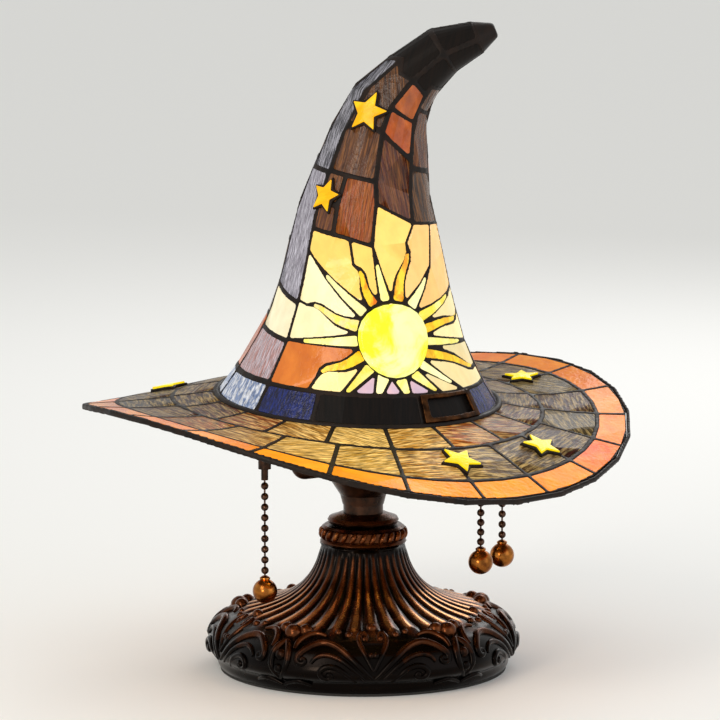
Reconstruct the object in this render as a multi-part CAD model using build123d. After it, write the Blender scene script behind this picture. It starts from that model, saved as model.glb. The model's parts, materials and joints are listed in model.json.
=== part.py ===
from build123d import *
from cmath import rect
from functools import lru_cache
from math import atan2, ceil, cos, degrees, pi, radians, sin, tan
import os

# Table lamp with a stained-glass shade shaped as a witch hat. All sizes are in millimetres.
# The lamp stands on its foot, +Z is up, -Y is its front, and the origin is the middle of the
# foot's underside. The shade turns on the lamp's rod. Under it, three sockets on a cluster
# have pull-chain switches: a toggle that slides down, and a bead chain that swings from it.

os.makedirs("parts", exist_ok=True)

# ---------------------------------------------------------------- driving dimensions
STANDING = (Align.CENTER, Align.CENTER, Align.MIN)
GAP = 0.1

# Rod and base.
ROD_R = 5.0
ROD_HOLE_R = 3.6
ROD_FOOT_Z = 1.9
ROD_TOP_Z = 279.0
ROD_CLEARANCE = 0.2
FELT_H = 1.5
FELT_R = 90.0
NUT_ACROSS_R = 8.5
NUT_H = 3.0
WASHER_R = 13.0
WASHER_H = 1.2
PLATE_Z = 6.4
PLATE_H = 2.0
PLATE_R = 80.0
BALLAST_R = 68.0
BALLAST_H = 13.0
BALLAST_BORE_R = 9.0
SKIRT = [(90, FELT_H), (92.5, 8), (98, 11), (98, 15), (94, 25.5), (83, 33.5), (76, 40)]
BELL = [(76, 40), (52, 45), (43.5, 49), (33.5, 58), (27.5, 71), (25.5, 79)]
INNER_SKIRT = [(86, FELT_H), (86, 17), (80, 27), (66, 36)]
INNER_BELL = [(66, 36), (46, 41), (37, 46), (28, 57), (22, 70), (21, 74)]
COLLAR = [(25.5, 79.1), (28, 84), (28.4, 87), (26, 90), (22, 91)]
DISC = [(19, 91.1), (22.3, 93), (22.3, 95.5), (15, 98.5)]
NECK_R = 12.5
NECK_Z = (98.6, 104.0)
INLET_R = 3.5
INLET_WALL = 1.5
INLET_Z = 12.5
INLET_Y = (82.0, 100.0)
INLET_FLANGE_R = 7.5
INLET_FLANGE_H = 2.0

# Cluster, sockets and bulbs. A socket leans in towards the rod as it goes up.
CUP = [(13, 104.1), (14.5, 110), (21, 120), (28, 129), (31, 137)]
CUP_WALL = 2.0
COVER_H = 2.5
COVER_RISE = 3.0
ARM_R = 4.5
ARM_Z = 128.0
ARM_TUCK = 1.5
ARM_BEND = 5.5
SOCKET_REACH = 48.0
SOCKET_Z = 136.0
SOCKET_LEAN = 12.0
CAP_R = 15.5
CAP_H = 15.0
CAP = [(8, 0), (13, 3), (CAP_R, 8), (CAP_R, CAP_H)]
SHELL_R = 16.5
SHELL_WALL = 1.2
SHELL_TOP = 44.0
SCREW_R = 13.0
SCREW_TIP_R = 5.0
SCREW_TAPER = 5.0
SCREW_BOTTOM = 18.0
SCREW_TOP = 42.0
BULB = [(14.5, 52), (15.0, 66), (12.9, 82), (7.5, 93), (0, 98)]

# Pull chains: name, direction of the socket from the rod, place of the chain, ball's height.
CHAINS = [("left", 213.0, (-61.0, -40.0), 56.0),
          ("right_front", -35.0, (73.0, -33.0), 73.0),
          ("right_rear", 35.0, (87.5, 8.0), 69.5)]
OUTLET_R = 4.0
OUTLET_BORE_R = 2.7
OUTLET_Z = (133.0, 149.0)
OUTLET_ROOF = 2.0
OUTLET_ARM_R = 3.2
OUTLET_ARM_GAP = 0.6
TOGGLE_R = 2.2
TOGGLE_Z = (126.0, 142.5)
BEAD_R = 2.4
BEAD_PITCH = 6.0
LINK_R = 0.6
CHAIN_GAP = 0.5
BALL_R = 7.7
BALL_NECK_R = 2.6
BALL_NECK_H = 2.0

# Shade support.
SEAT_Z = 262.0
SEAT_H = 5.0
SEAT_R = 10.0
HUB_R = 11.0
HUB_H = 4.0
HUB_CLEARANCE = 0.05
SPOKE_W = 5.0
SPOKE_COUNT = 3
RING_R = 42.5
RING_WALL = 2.0
RING_X = 1.0
FINIAL_R = 7.0
FINIAL_H = 7.0

# Glass and came.
GLASS = 3.2
CAME = 3.5
FINE_CAME = 2.2
OVERLAY = (2.3, 4.8)
STEP_ANGLE = 12.5
STEP_LENGTH = 24.0

# Crown: distance up its middle line, radius, and the middle line's X and Z.
CROWN = [(0, 86.5, -3.5, 171), (16.5, 75.5, -2.5, 187.5), (43, 61.5, -0.5, 214),
         (73, 52, 0.5, 243.5), (121, 40.5, 2, 292), (148, 33, 6.5, 318), (179, 26, 13.5, 349),
         (204, 18, 28, 370), (232, 14, 49, 388.5), (253, 9.5, 68, 396), (269, 4, 84, 402.5)]
BAND_TOP = 16.5
CAME_TOP = 256.0
TIP_END = 268.0
LEAN = 4.1
LEAN_TOWARDS = 38.5
LEAN_FADES_BY = 60.0

# Brim: rings from the crown outwards. It droops, and it dips at front and back and rises
# at the sides of the buckle's direction. Its left end dips a little more.
BRIM_IN = 88.4
BRIM_ROWS = [88.4, 116.0, 150.5, 169.5]
BRIM_R = 172.0
BRIM_DROOP = 11.5
BRIM_SADDLE = 17.9
BRIM_DIP = 5.6
BRIM_JOINTS = 22
INNER_JOINTS = 18
FIRST_JOINT = 10.8
RIM_LIFT = 2.0
SEAM = 0.3

# Sun on the crown's front: its middle, disc and rays. A pattern point is a complex number:
# degrees round from the front are its real part and distance up the crown its imaginary part.
SUN = 18 + 47j
SUN_R = 21.6
SUN_EDGE = [6 + 101j, 8 + 127j, 42 + 115j, 64 + 114j, 85 + 113j, 85 + 74j, 85 + 58j, 85 + 41j,
            85 + 26j, 85 + 16.5j, 57 + 16.5j, 42 + 16.5j, 38 + 16.5j, 25 + 16.5j, 21 + 16.5j,
            11 + 16.5j, 7 + 16.5j, -4 + 16.5j, -8 + 16.5j, -24 + 16.5j, -46 + 16.5j, -46 + 41j,
            -46 + 66j, -46 + 97j, -46 + 109j, -12 + 105j]
# Each ray, clockwise from the top: is it a flame, its tip or blunt end, its way to the edge.
SUN_RAYS = [(False, [6 + 101j], 6 + 101j), (True, [33 + 103j], 42 + 115j),
            (False, [54 + 88j], 64 + 114j), (False, [85 + 74j], 85 + 74j),
            (True, [85 + 58j], 85 + 58j), (False, [85 + 41j], 85 + 41j),
            (True, [85 + 26j], 85 + 26j), (False, [57 + 16.5j], 57 + 16.5j),
            (False, [42 + 16.5j, 38 + 16.5j], None), (False, [25 + 16.5j, 21 + 16.5j], None),
            (False, [11 + 16.5j, 7 + 16.5j], None), (False, [-4 + 16.5j, -8 + 16.5j], None),
            (True, [-21.5 + 23j], -24 + 16.5j), (False, [-46 + 41j], -46 + 41j),
            (True, [-38.5 + 64j], -46 + 66j), (False, [-40 + 92.5j], -46 + 97j),
            (True, [-8 + 90j], -12 + 105j)]
FLAME_SWAY = 3.6
FLAME_POINTS = 6
FLAME_TAPER = 0.75
RAY_EVENNESS = 0.5
SHARPEST = 0.12

# Other panes of the crown, by colour.
CROWN_PANES = {
    "band_blue_panes": [[-80, -46, -46 + 16.5j, -80 + 16.5j]],
    "band_navy_panes": [[-46, -18.5, -18.5 + 16.5j, -46 + 16.5j],
                        [58, 85, 85 + 16.5j, 58 + 16.5j]],
    "band_black_panes": [[-18.5, 28, 28 + 16.5j, -18.5 + 16.5j],
                         [28, 58, 58 + 16.5j, 28 + 16.5j]],
    "crown_slate_panes": [[-80 + 16.5j, -46 + 16.5j, -46 + 40j, -80 + 44j],
                          [-80 + 73j, -46 + 64j, -46 + 140j, -80 + 140j],
                          [-80 + 140j, -46 + 140j, -46 + 211j, -80 + 205j]],
    "crown_cream_panes": [[-80 + 44j, -46 + 40j, -46 + 64j, -80 + 73j]],
    "crown_brown_panes": [[-46 + 109j, -26 + 107j, -26 + 123j, -46 + 125j],
                          [-46 + 125j, -26 + 123j, -26 + 141j, -46 + 141j],
                          [-26 + 107j, -12 + 105j, 6 + 101j, 8 + 127j, 4 + 141j, -26 + 141j],
                          [-46 + 141j, -26 + 141j, 4 + 141j, 2 + 170j, -22 + 174j, -46 + 168j],
                          [8 + 127j, 42 + 115j, 42 + 156j, 2 + 170j, 4 + 141j],
                          [42 + 115j, 85 + 113j, 85 + 150j, 42 + 152j],
                          [42 + 152j, 85 + 150j, 85 + 195j, 42 + 195j],
                          [42 + 195j, 85 + 195j, 85 + 216j, 42 + 212j],
                          [-46 + 168j, -22 + 174j, 2 + 170j, 186j, 2 + 207j, -24 + 205j,
                           -46 + 211j]],
    "crown_amber_panes": [[2 + 170j, 42 + 156j, 42 + 184j, 186j],
                          [186j, 42 + 184j, 42 + 205j, 2 + 207j]],
    "crown_dark_panes": [[-80 + 205j, -46 + 211j, -24 + 205j, 2 + 207j, 5 + 232j, -80 + 232j],
                         [2 + 207j, 42 + 205j, 42 + 212j, 85 + 216j, 85 + 232j, 5 + 232j],
                         [-80 + 232j, 5 + 232j, 5 + 256j, -80 + 256j],
                         [5 + 232j, 85 + 232j, 85 + 256j, 5 + 256j]],
}
BACK_COLUMNS = [85, 130, 180, 230, 280]
BACK_ROWS = [(16.5, 66, 112, 158, 207), (16.5, 52, 100, 146, 207)]
BACK_COLOURS = ["crown_brown_panes", "crown_cream_panes", "crown_amber_panes",
                "crown_brown_panes", "crown_slate_panes", "crown_brown_panes",
                "crown_amber_panes"]
TOP_COLUMNS = [85, 180, 280]
TOP_ROWS = [207, 232, 256]

# Stars laid over the glass: middle, point radius and turn.
CROWN_STARS = [(-24 + 178j, 10.5, 8.0), (-39 + 127j, 9.0, -6.0), (205 + 88j, 10.0, 12.0),
               (152 + 140j, 8.5, -10.0)]
BRIM_STARS = [(28.5 + 131j, 12.5, 10.0), (58.5 + 132j, 12.0, -14.0), (126.5 + 131j, 11.5, 20.0),
              (190 + 130j, 12.0, 0.0), (250 + 128j, 11.5, 15.0)]
STAR_WAIST = 0.46
BUCKLE = (28.0, 58.0, 0.8, 15.7)
BUCKLE_BAR = (3.2, 2.6)


# ---------------------------------------------------------------- surfaces of the shade
def on_curve(column, t):
    """Value of a crown column at distance t, on a smooth curve through the stations."""
    last = len(CROWN) - 1
    i = next((k for k in range(1, last) if t <= CROWN[k][0]), last)

    def slope(k):
        low = CROWN[max(k - 1, 0)]
        high = CROWN[min(k + 1, last)]
        return (high[column] - low[column]) / (high[0] - low[0])

    start, end = CROWN[i - 1], CROWN[i]
    span = end[0] - start[0]
    s = (t - start[0]) / span
    return (start[column] * (1 + 2 * s) * (1 - s) ** 2 + slope(i - 1) * span * s * (1 - s) ** 2
            + end[column] * s * s * (3 - 2 * s) - slope(i) * span * s * s * (1 - s))


def crown_radius(t):
    """Radius of the crown at distance t."""
    return on_curve(1, t)


def facing(up):
    """Front and right directions of a section whose upward normal is given."""
    front = Vector(0, -1, 0) - up * up.dot(Vector(0, -1, 0))
    front = front.normalized()
    return front, up.cross(front)


BASE_UP = Vector(sin(radians(LEAN)) * sin(radians(LEAN_TOWARDS)),
                 -sin(radians(LEAN)) * cos(radians(LEAN_TOWARDS)), cos(radians(LEAN)))
HAT_MIDDLE = Vector(CROWN[0][2], 0, CROWN[0][3])


@lru_cache(None)
def crown_section(t):
    """Middle, front and right directions of the crown's section at distance t."""
    step = 0.5
    rise = Vector(on_curve(2, t + step) - on_curve(2, t - step), 0,
                  on_curve(3, t + step) - on_curve(3, t - step)).normalized()
    fade = min(max(t / LEAN_FADES_BY, 0), 1)
    front, right = facing((BASE_UP * (1 - fade) + rise * fade).normalized())
    return Vector(on_curve(2, t), 0, on_curve(3, t)), front, right


def crown_point(spot):
    """Point of the crown's middle skin at a pattern point."""
    middle, front, right = crown_section(spot.imag)
    turn = radians(spot.real)
    return middle + (front * cos(turn) + right * sin(turn)) * crown_radius(spot.imag)


def brim_point(spot):
    """Point of the brim's middle skin at a pattern point."""
    front, right = facing(BASE_UP)
    turn = radians(spot.real)
    out = (spot.imag - CROWN[0][1]) / (BRIM_R - CROWN[0][1])
    saddle = BRIM_SADDLE * out ** 1.6 * cos(2 * (turn - radians(LEAN_TOWARDS)))
    dip = BRIM_DIP * out ** 2 * ((1 - sin(turn)) / 2) ** 8
    height = -BRIM_DROOP * out * (1.5 - 0.5 * out) - saddle - dip
    return HAT_MIDDLE + (front * cos(turn) + right * sin(turn)) * spot.imag + BASE_UP * height


@lru_cache(None)
def raised(skin, spot, lift):
    """Point at a height above a skin, along the skin's outward normal."""
    step = 0.2
    across = skin(spot + step) - skin(spot - step)
    along = skin(spot + step * 1j) - skin(spot - step * 1j)
    normal = across.cross(along).normalized()
    if skin is brim_point:
        normal = -normal
    return skin(spot) + normal * lift


def girth(skin, t):
    """Radius of a skin's ring at a pattern height."""
    return crown_radius(t) if skin is crown_point else t


# ---------------------------------------------------------------- flat patterns
def signed_area(ring):
    """Area of a closed list of pattern points, positive if it runs anticlockwise."""
    return sum((a.conjugate() * b).imag for a, b in zip(ring, ring[1:] + ring[:1])) / 2


def flat(skin, spot, middle):
    """Pattern point in millimetres, measured from a meridian."""
    return complex(radians(spot.real - middle) * girth(skin, spot.imag), spot.imag)


def bent(skin, place, middle):
    """Pattern point in degrees for a place in millimetres from a meridian."""
    return complex(middle + degrees(place.real / girth(skin, place.imag)), place.imag)


def inset(skin, corners, margin, middle):
    """Corners drawn in so that each side moves in parallel to itself by the margin."""
    ring = [flat(skin, corner, middle) for corner in corners]
    if signed_area(ring) < 0:
        ring.reverse()
    moved = []
    for before, here, after in zip(ring[-1:] + ring[:-1], ring, ring[1:] + ring[:1]):
        side_in = 1j * (here - before) / abs(here - before)
        side_out = 1j * (after - here) / abs(after - here)
        share = max(1 + (side_in.conjugate() * side_out).real, SHARPEST)
        moved.append(here + margin * (side_in + side_out) / share)
    return [bent(skin, place, middle) for place in moved]


def stepped(ring):
    """Ring with points added so that each side follows the curved skin."""
    points = []
    for here, after in zip(ring, ring[1:] + ring[:1]):
        side = after - here
        count = max(1, ceil(abs(side.real) / STEP_ANGLE), ceil(abs(side.imag) / STEP_LENGTH))
        points += [here + side * k / count for k in range(count)]
    return points


def pane(skin, corners, margin, middle=None):
    """Outline of one pane: its cell in the pattern, less half of the came round it."""
    if middle is None:
        middle = sum(corner.real for corner in corners) / len(corners)
    return stepped(inset(skin, [complex(corner) for corner in corners], margin, middle))


def wrapped(skin, rim, holes=(), low=-GLASS / 2, high=GLASS / 2):
    """Solid sheet over a flat outline, bent onto a skin between two heights."""
    def wire(ring):
        return Wire.make_polygon([(spot.real, spot.imag) for spot in ring])

    sheet = Face(wire(rim), [wire(hole) for hole in holes])
    corners, triangles = sheet.tessellate(0.01)
    spots = [complex(round(corner.X, 7), round(corner.Y, 7)) for corner in corners]
    faces = []

    def add(*points):
        faces.append(Face(Wire.make_polygon(points)))

    for triangle in triangles:
        ring = [spots[k] for k in triangle]
        if signed_area(ring) < 0:
            ring.reverse()
        add(*[raised(skin, spot, high) for spot in ring])
        add(*[raised(skin, spot, low) for spot in reversed(ring)])
    for ring in (rim, *holes):
        ring = [complex(round(spot.real, 7), round(spot.imag, 7)) for spot in ring]
        for here, after in zip(ring, ring[1:] + ring[:1]):
            first, second = sorted((here, after), key=lambda spot: (spot.real, spot.imag))
            foot, head = raised(skin, first, low), raised(skin, second, high)
            add(foot, raised(skin, second, low), head)
            add(foot, head, raised(skin, first, high))
    solid = Solid(Shell(faces))
    return solid if solid.volume > 0 else -solid


def ring_outline(first, last, low, high):
    """Outline of a stretch of ring between two meridians and two pattern heights."""
    return stepped([complex(first, low), complex(last, low), complex(last, high),
                    complex(first, high)])


def save(name, solids):
    """Write a node from one solid or from a list of separate solids."""
    if isinstance(solids, list):
        solids = solids[0] if len(solids) == 1 else Compound(children=solids)
    export_step(solids, f"parts/{name}.step")


# ---------------------------------------------------------------- sun
def sun_spot(radius, bearing):
    """Pattern point at a radius and a clockwise bearing from the sun's middle."""
    place = complex(radius * sin(bearing), SUN.imag + radius * cos(bearing))
    return bent(crown_point, place, SUN.real)


def flame_side(root, tip, side, width):
    """Points up one side of a flame, which sways once each way on its path to the tip."""
    reach = tip - root
    across = 1j * reach / abs(reach)
    points = []
    for k in range(1, FLAME_POINTS + 1):
        s = k / (FLAME_POINTS + 1)
        sway = FLAME_SWAY * min(1, width / 4) * sin(2 * pi * s) * s
        points.append(root + reach * s + across * (side * width * (1 - s) ** FLAME_TAPER + sway))
    return points


def sun_cells():
    """Outlines of the sun's disc, straight rays, flames, and the field between them."""
    def local(spot):
        return flat(crown_point, spot, SUN.real) - 1j * SUN.imag

    def pattern(place):
        return bent(crown_point, place + 1j * SUN.imag, SUN.real)

    count = len(SUN_RAYS)
    half = FINE_CAME / 2
    bearings = []
    for _, ends, _ in SUN_RAYS:
        heading = local(sum(ends) / len(ends))
        bearing = atan2(heading.real, heading.imag)
        while bearings and bearing < bearings[-1]:
            bearing += 2 * pi
        bearings.append(bearing)
    roots = [bearing * (1 - RAY_EVENNESS) + (bearings[0] + 2 * pi * k / count) * RAY_EVENNESS
             for k, bearing in enumerate(bearings)]
    gates = [(low + high) / 2 for low, high in zip(roots, roots[1:] + [roots[0] + 2 * pi])]

    straight, flames, sides = [], [], []
    for k, (flame, ends, _) in enumerate(SUN_RAYS):
        low, high = gates[k - 1] - 2 * pi * (k == 0), gates[k]
        cell = [sun_spot(SUN_R, high), sun_spot(SUN_R, roots[k]), sun_spot(SUN_R, low)]
        if not flame:
            straight.append(pane(crown_point, cell + ends, half, SUN.real))
            sides.append(([], []))
            continue
        root, tip = rect(SUN_R, pi / 2 - roots[k]), local(ends[0])
        width = SUN_R * sin((high - low) / 2)
        glass = [flame_side(root, tip, side, width - half) for side in (1, -1)]
        point = tip - FINE_CAME * tip / abs(tip)
        foot = [sun_spot(SUN_R + half, bearing)
                for bearing in (high - half / SUN_R, roots[k], low + half / SUN_R)]
        flames.append(foot + [pattern(p) for p in glass[0]] + [pattern(point)]
                      + [pattern(p) for p in glass[1][::-1]])
        edge = [flame_side(root, tip, side, width) for side in (1, -1)]
        sides.append(([pattern(p) for p in edge[0]], [pattern(p) for p in edge[1]]))
    field = []
    for k, (_, ends, way) in enumerate(SUN_RAYS):
        next_ends, next_way = SUN_RAYS[(k + 1) % count][1:]
        start = SUN_EDGE.index(way or ends[-1])
        stop = SUN_EDGE.index(next_way or next_ends[0])
        stop += len(SUN_EDGE) if stop < start else 0
        border = [SUN_EDGE[i % len(SUN_EDGE)] for i in range(start, stop + 1)]
        cell = [sun_spot(SUN_R, gates[k])] + sides[k][1] + [ends[-1]] + border
        cell += [next_ends[0]] + sides[(k + 1) % count][0][::-1]
        cell = [spot for i, spot in enumerate(cell) if spot != cell[i - 1]]
        field.append(pane(crown_point, cell, half, SUN.real))
    disc = [sun_spot(SUN_R - half, 2 * pi * k / 24) for k in range(24)]
    return disc, straight, flames, field


# ---------------------------------------------------------------- shade
def make_crown():
    """Panes and came of the crown, band and sun."""
    back = {name: [] for name in CROWN_PANES}
    for k, (low, high) in enumerate(zip(BACK_COLUMNS, BACK_COLUMNS[1:])):
        colour = "band_navy_panes" if k % 2 == 0 else "band_blue_panes"
        back[colour].append([low, high, high + BAND_TOP * 1j, low + BAND_TOP * 1j])
        rows = BACK_ROWS[k % 2]
        for i, (floor, ceiling) in enumerate(zip(rows, rows[1:])):
            colour = BACK_COLOURS[(3 * k + i) % len(BACK_COLOURS)]
            back[colour].append([low + floor * 1j, high + floor * 1j, high + ceiling * 1j,
                                 low + ceiling * 1j])
    for low, high in zip(TOP_COLUMNS, TOP_COLUMNS[1:]):
        for floor, ceiling in zip(TOP_ROWS, TOP_ROWS[1:]):
            back["crown_dark_panes"].append([low + floor * 1j, high + floor * 1j,
                                             high + ceiling * 1j, low + ceiling * 1j])

    disc, straight, flames, field = sun_cells()
    front_outlines = {name: [pane(crown_point, cell, CAME / 2) for cell in group]
                      for name, group in CROWN_PANES.items()}
    front_outlines.update(sun_disc=[disc], sun_rays=straight, sun_flames=flames,
                          sun_field_panes=field)
    back_outlines = {name: [pane(crown_point, cell, CAME / 2) for cell in group]
                     for name, group in back.items()}
    for name, outlines in front_outlines.items():
        save(name, [wrapped(crown_point, outline)
                    for outline in outlines + back_outlines.get(name, [])])
    for name, first, last, outlines in (
            ("crown_came_front", -80, 85, front_outlines),
            ("crown_came_back", 85, 280, back_outlines)):
        holes = [outline for group in outlines.values() for outline in group]
        save(name, wrapped(crown_point, ring_outline(first, last, 0, CAME_TOP), holes))


def make_brim():
    """Panes, came and rim wire of the brim."""
    half = INNER_JOINTS // 2, BRIM_JOINTS // 2, BRIM_JOINTS // 2
    came = []
    groups = {"brim_inner_panes": [], "brim_outer_panes": [], "brim_border_panes": []}
    for side in range(2):
        start = FIRST_JOINT + 180 * side
        holes = []
        for name, count, low, high in zip(groups, half, BRIM_ROWS, BRIM_ROWS[1:]):
            for k in range(count):
                a, b = start + 180 * k / count, start + 180 * (k + 1) / count
                cell = [complex(a, low), complex(b, low), complex(b, high), complex(a, high)]
                outline = pane(brim_point, cell, CAME / 2)
                holes.append(outline)
                groups[name].append(wrapped(brim_point, outline))
        came.append(wrapped(brim_point, ring_outline(start, start + 180, BRIM_IN, BRIM_ROWS[-1]),
                            holes))
    for name, panes in groups.items():
        save(name, panes)
    save("brim_came", came)
    edges = [ring_outline(start, start + 180, BRIM_ROWS[-1] + SEAM, BRIM_R)
             for start in (FIRST_JOINT, FIRST_JOINT + 180)]
    save("brim_rim", [wrapped(brim_point, edge, low=-RIM_LIFT, high=RIM_LIFT)
                      for edge in edges])


def star(skin, middle, size, turn):
    """Five-pointed star of glass laid over the skin."""
    ring = []
    for k in range(10):
        reach = rect(size if k % 2 == 0 else size * STAR_WAIST, radians(90 + turn + 36 * k))
        ring.append(bent(skin, reach + 1j * middle.imag, middle.real))
    return wrapped(skin, ring, low=OVERLAY[0], high=OVERLAY[1])


def make_overlays():
    """Stars, buckle and the metal cap on the crown's tip."""
    save("crown_stars", [star(crown_point, *sizes) for sizes in CROWN_STARS])
    save("brim_stars", [star(brim_point, *sizes) for sizes in BRIM_STARS])
    first, last, low, high = BUCKLE
    side, rail = BUCKLE_BAR
    window = ring_outline(first + side, last - side, low + rail, high - rail)
    save("band_buckle", wrapped(crown_point, ring_outline(first, last, low, high), [window],
                                OVERLAY[0], OVERLAY[1]))
    start = crown_section(CAME_TOP + 2 * SEAM)[0]
    end = crown_section(TIP_END)[0]
    cone = Plane(origin=start, z_dir=end - start) * Cone(
        crown_radius(CAME_TOP) + GLASS / 2, crown_radius(TIP_END), (end - start).length,
        align=STANDING)
    save("tip_cap", cone)


# ---------------------------------------------------------------- base and rod
def turned(outline):
    """Solid of revolution about Z from a closed outline of (radius, height) edges."""
    return revolve(make_face(outline.edges()), Axis.Z)


def turned_points(points):
    """Solid of revolution about Z from the corners of its half section."""
    half = [(radius, 0, height) for radius, height in points]
    return turned(Polyline(*half, close=True))


def disc_with_bore(radius, bore, low, high):
    """Flat disc with a round bore, between two heights."""
    return turned_points([(bore, low), (radius, low), (radius, high), (bore, high)])


def make_base():
    """Foot, its fittings, and the pieces stacked on the rod below the cluster."""
    def half(points):
        return [(radius, 0, height) for radius, height in points]

    bore = ROD_R + ROD_CLEARANCE
    top = BELL[-1][1]
    throat = [BELL[-1], (bore, top), (bore, INNER_BELL[-1][1]), INNER_BELL[-1]]
    stretches = [Polyline(*half(SKIRT)), Spline(*half(BELL)), Polyline(*half(throat)),
                 Spline(*half(INNER_BELL)), Polyline(*half(INNER_SKIRT)),
                 Line(*half([INNER_SKIRT[0], SKIRT[0]]))]
    casting = turned(Wire([edge for stretch in stretches for edge in stretch.edges()]))
    drill = Plane(origin=(0, INLET_Y[0], INLET_Z), z_dir=(0, 1, 0))
    length = INLET_Y[1] - INLET_Y[0]
    casting -= drill * Cylinder(INLET_R + INLET_WALL, length, align=STANDING)
    save("base_casting", casting)
    bushing = Cylinder(INLET_R + INLET_WALL, length, align=STANDING)
    bushing += Pos(0, 0, length - INLET_FLANGE_H) * Cylinder(
        INLET_FLANGE_R, INLET_FLANGE_H, align=STANDING)
    bushing -= Cylinder(INLET_R, length, align=STANDING)
    save("cord_bushing", drill * bushing)
    save("felt_pad", Cylinder(FELT_R, FELT_H, align=STANDING))
    save("base_plate", disc_with_bore(PLATE_R, bore, PLATE_Z, PLATE_Z + PLATE_H))
    ballast_z = PLATE_Z + PLATE_H
    save("ballast_weight", disc_with_bore(BALLAST_R, BALLAST_BORE_R, ballast_z,
                                          ballast_z + BALLAST_H))
    washer_z = PLATE_Z - WASHER_H
    save("rod_washer", disc_with_bore(WASHER_R, bore, washer_z, PLATE_Z))
    nut = extrude(RegularPolygon(NUT_ACROSS_R, 6), NUT_H)
    nut -= Cylinder(ROD_R, NUT_H, align=STANDING)
    save("rod_nut", Pos(0, 0, washer_z - NUT_H) * nut)
    save("lamp_rod", disc_with_bore(ROD_R, ROD_HOLE_R, ROD_FOOT_Z, ROD_TOP_Z))
    save("base_collar", turned_points([(bore, COLLAR[0][1]), *COLLAR, (bore, COLLAR[-1][1])]))
    save("collar_disc", turned_points([(bore, DISC[0][1]), *DISC, (bore, DISC[-1][1])]))
    save("neck_sleeve", disc_with_bore(NECK_R, bore, *NECK_Z))


# ---------------------------------------------------------------- cluster and sockets
def socket_place(direction):
    """Frame of a socket: its foot on the arm, its axis leaning in towards the rod."""
    return (Rot(0, 0, direction) * Pos(SOCKET_REACH, 0, SOCKET_Z) * Rot(0, -SOCKET_LEAN, 0))


def make_arm(direction):
    """Bent tube from the cluster cup out and up to a socket's foot."""
    knee = SOCKET_REACH + (SOCKET_Z - ARM_Z) * tan(radians(SOCKET_LEAN))
    path = FilletPolyline((CUP[-1][0] - ARM_TUCK, 0, ARM_Z), (knee, 0, ARM_Z),
                          (SOCKET_REACH, 0, SOCKET_Z), radius=ARM_BEND)
    tube = sweep(Plane(origin=path @ 0, z_dir=path % 0) * Circle(ARM_R), path)
    return Rot(0, 0, direction) * tube


def make_cluster():
    """Cup, cover, arms, sockets and bulbs."""
    bore = ROD_R + ROD_CLEARANCE
    floor = CUP[0][1] + CUP_WALL
    inner = [(radius - CUP_WALL, height + 0.8) for radius, height in CUP[1:]]
    cup = turned_points([(bore, CUP[0][1]), *CUP, (CUP[-1][0] - CUP_WALL, CUP[-1][1]),
                         *inner[-2::-1], (CUP[0][0] - CUP_WALL, floor), (bore, floor)])
    arms = [make_arm(direction) for _, direction, _, _ in CHAINS]
    for direction in (chain[1] for chain in CHAINS):
        cup -= Rot(0, 0, direction) * Pos(CUP[-1][0] - 4, 0, ARM_Z) * Cylinder(
            ARM_R, 12, rotation=(0, 90, 0))
    save("cluster_cup", cup)
    save("cluster_arms", arms)
    lid = CUP[-1][1] + GAP
    save("cluster_cover", turned_points([
        (bore, lid), (CUP[-1][0], lid), (CUP[-1][0] - 1, lid + COVER_H),
        (bore, lid + COVER_H + COVER_RISE)]))
    cap = turned_points([(0, 0), *CAP, (0, CAP_H)])
    shell_foot = CAP_H + GAP
    shell = turned_points([(SHELL_R - SHELL_WALL, shell_foot), (SHELL_R, shell_foot),
                           (SHELL_R, SHELL_TOP), (SHELL_R - SHELL_WALL, SHELL_TOP)])
    screw = turned_points([(0, SCREW_BOTTOM), (SCREW_TIP_R, SCREW_BOTTOM),
                           (SCREW_R, SCREW_BOTTOM + SCREW_TAPER), (SCREW_R, SCREW_TOP),
                           (0, SCREW_TOP)])
    neck = SCREW_TOP + GAP
    side = [(SCREW_R - 1, 0, neck), *((radius, 0, height) for radius, height in BULB)]
    outline = Wire([
        Line((0, 0, neck), side[0]).edge(),
        Spline(*side, tangents=[(0.3, 0, 1), (-1, 0, 0)]).edge(),
        Line(side[-1], (0, 0, neck)).edge()])
    glass = turned(outline)
    caps, screws = [], []
    for name, direction, _, _ in CHAINS:
        place = socket_place(direction)
        caps.append(place * cap)
        screws.append(place * screw)
        save(f"socket_shell_{name}", place * shell)
        save(f"bulb_{name}", place * glass)
    save("socket_caps", caps)
    save("bulb_screws", screws)


# ---------------------------------------------------------------- pull chains
def make_outlet(direction, spot):
    """Side arm of a socket and the barrel in which its toggle slides."""
    barrel = Pos(*spot, OUTLET_Z[0]) * Cylinder(
        OUTLET_R, OUTLET_Z[1] - OUTLET_Z[0], align=STANDING)
    middle = (OUTLET_Z[0] + OUTLET_Z[1]) / 2 + OUTLET_ROOF
    reach = SOCKET_REACH - (middle - SOCKET_Z) * tan(radians(SOCKET_LEAN))
    socket = Vector(reach * cos(radians(direction)), reach * sin(radians(direction)), middle)
    way = Vector(*spot, middle) - socket
    inside = CAP_R + OUTLET_ARM_GAP
    start = socket + way.normalized() * inside
    arm = Plane(origin=start, z_dir=way) * Cylinder(
        OUTLET_ARM_R, way.length - inside, align=STANDING)
    bore = Pos(*spot, OUTLET_Z[0]) * Cylinder(
        OUTLET_BORE_R, OUTLET_Z[1] - OUTLET_ROOF - OUTLET_Z[0],
        align=STANDING)
    return barrel + arm - bore


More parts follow.
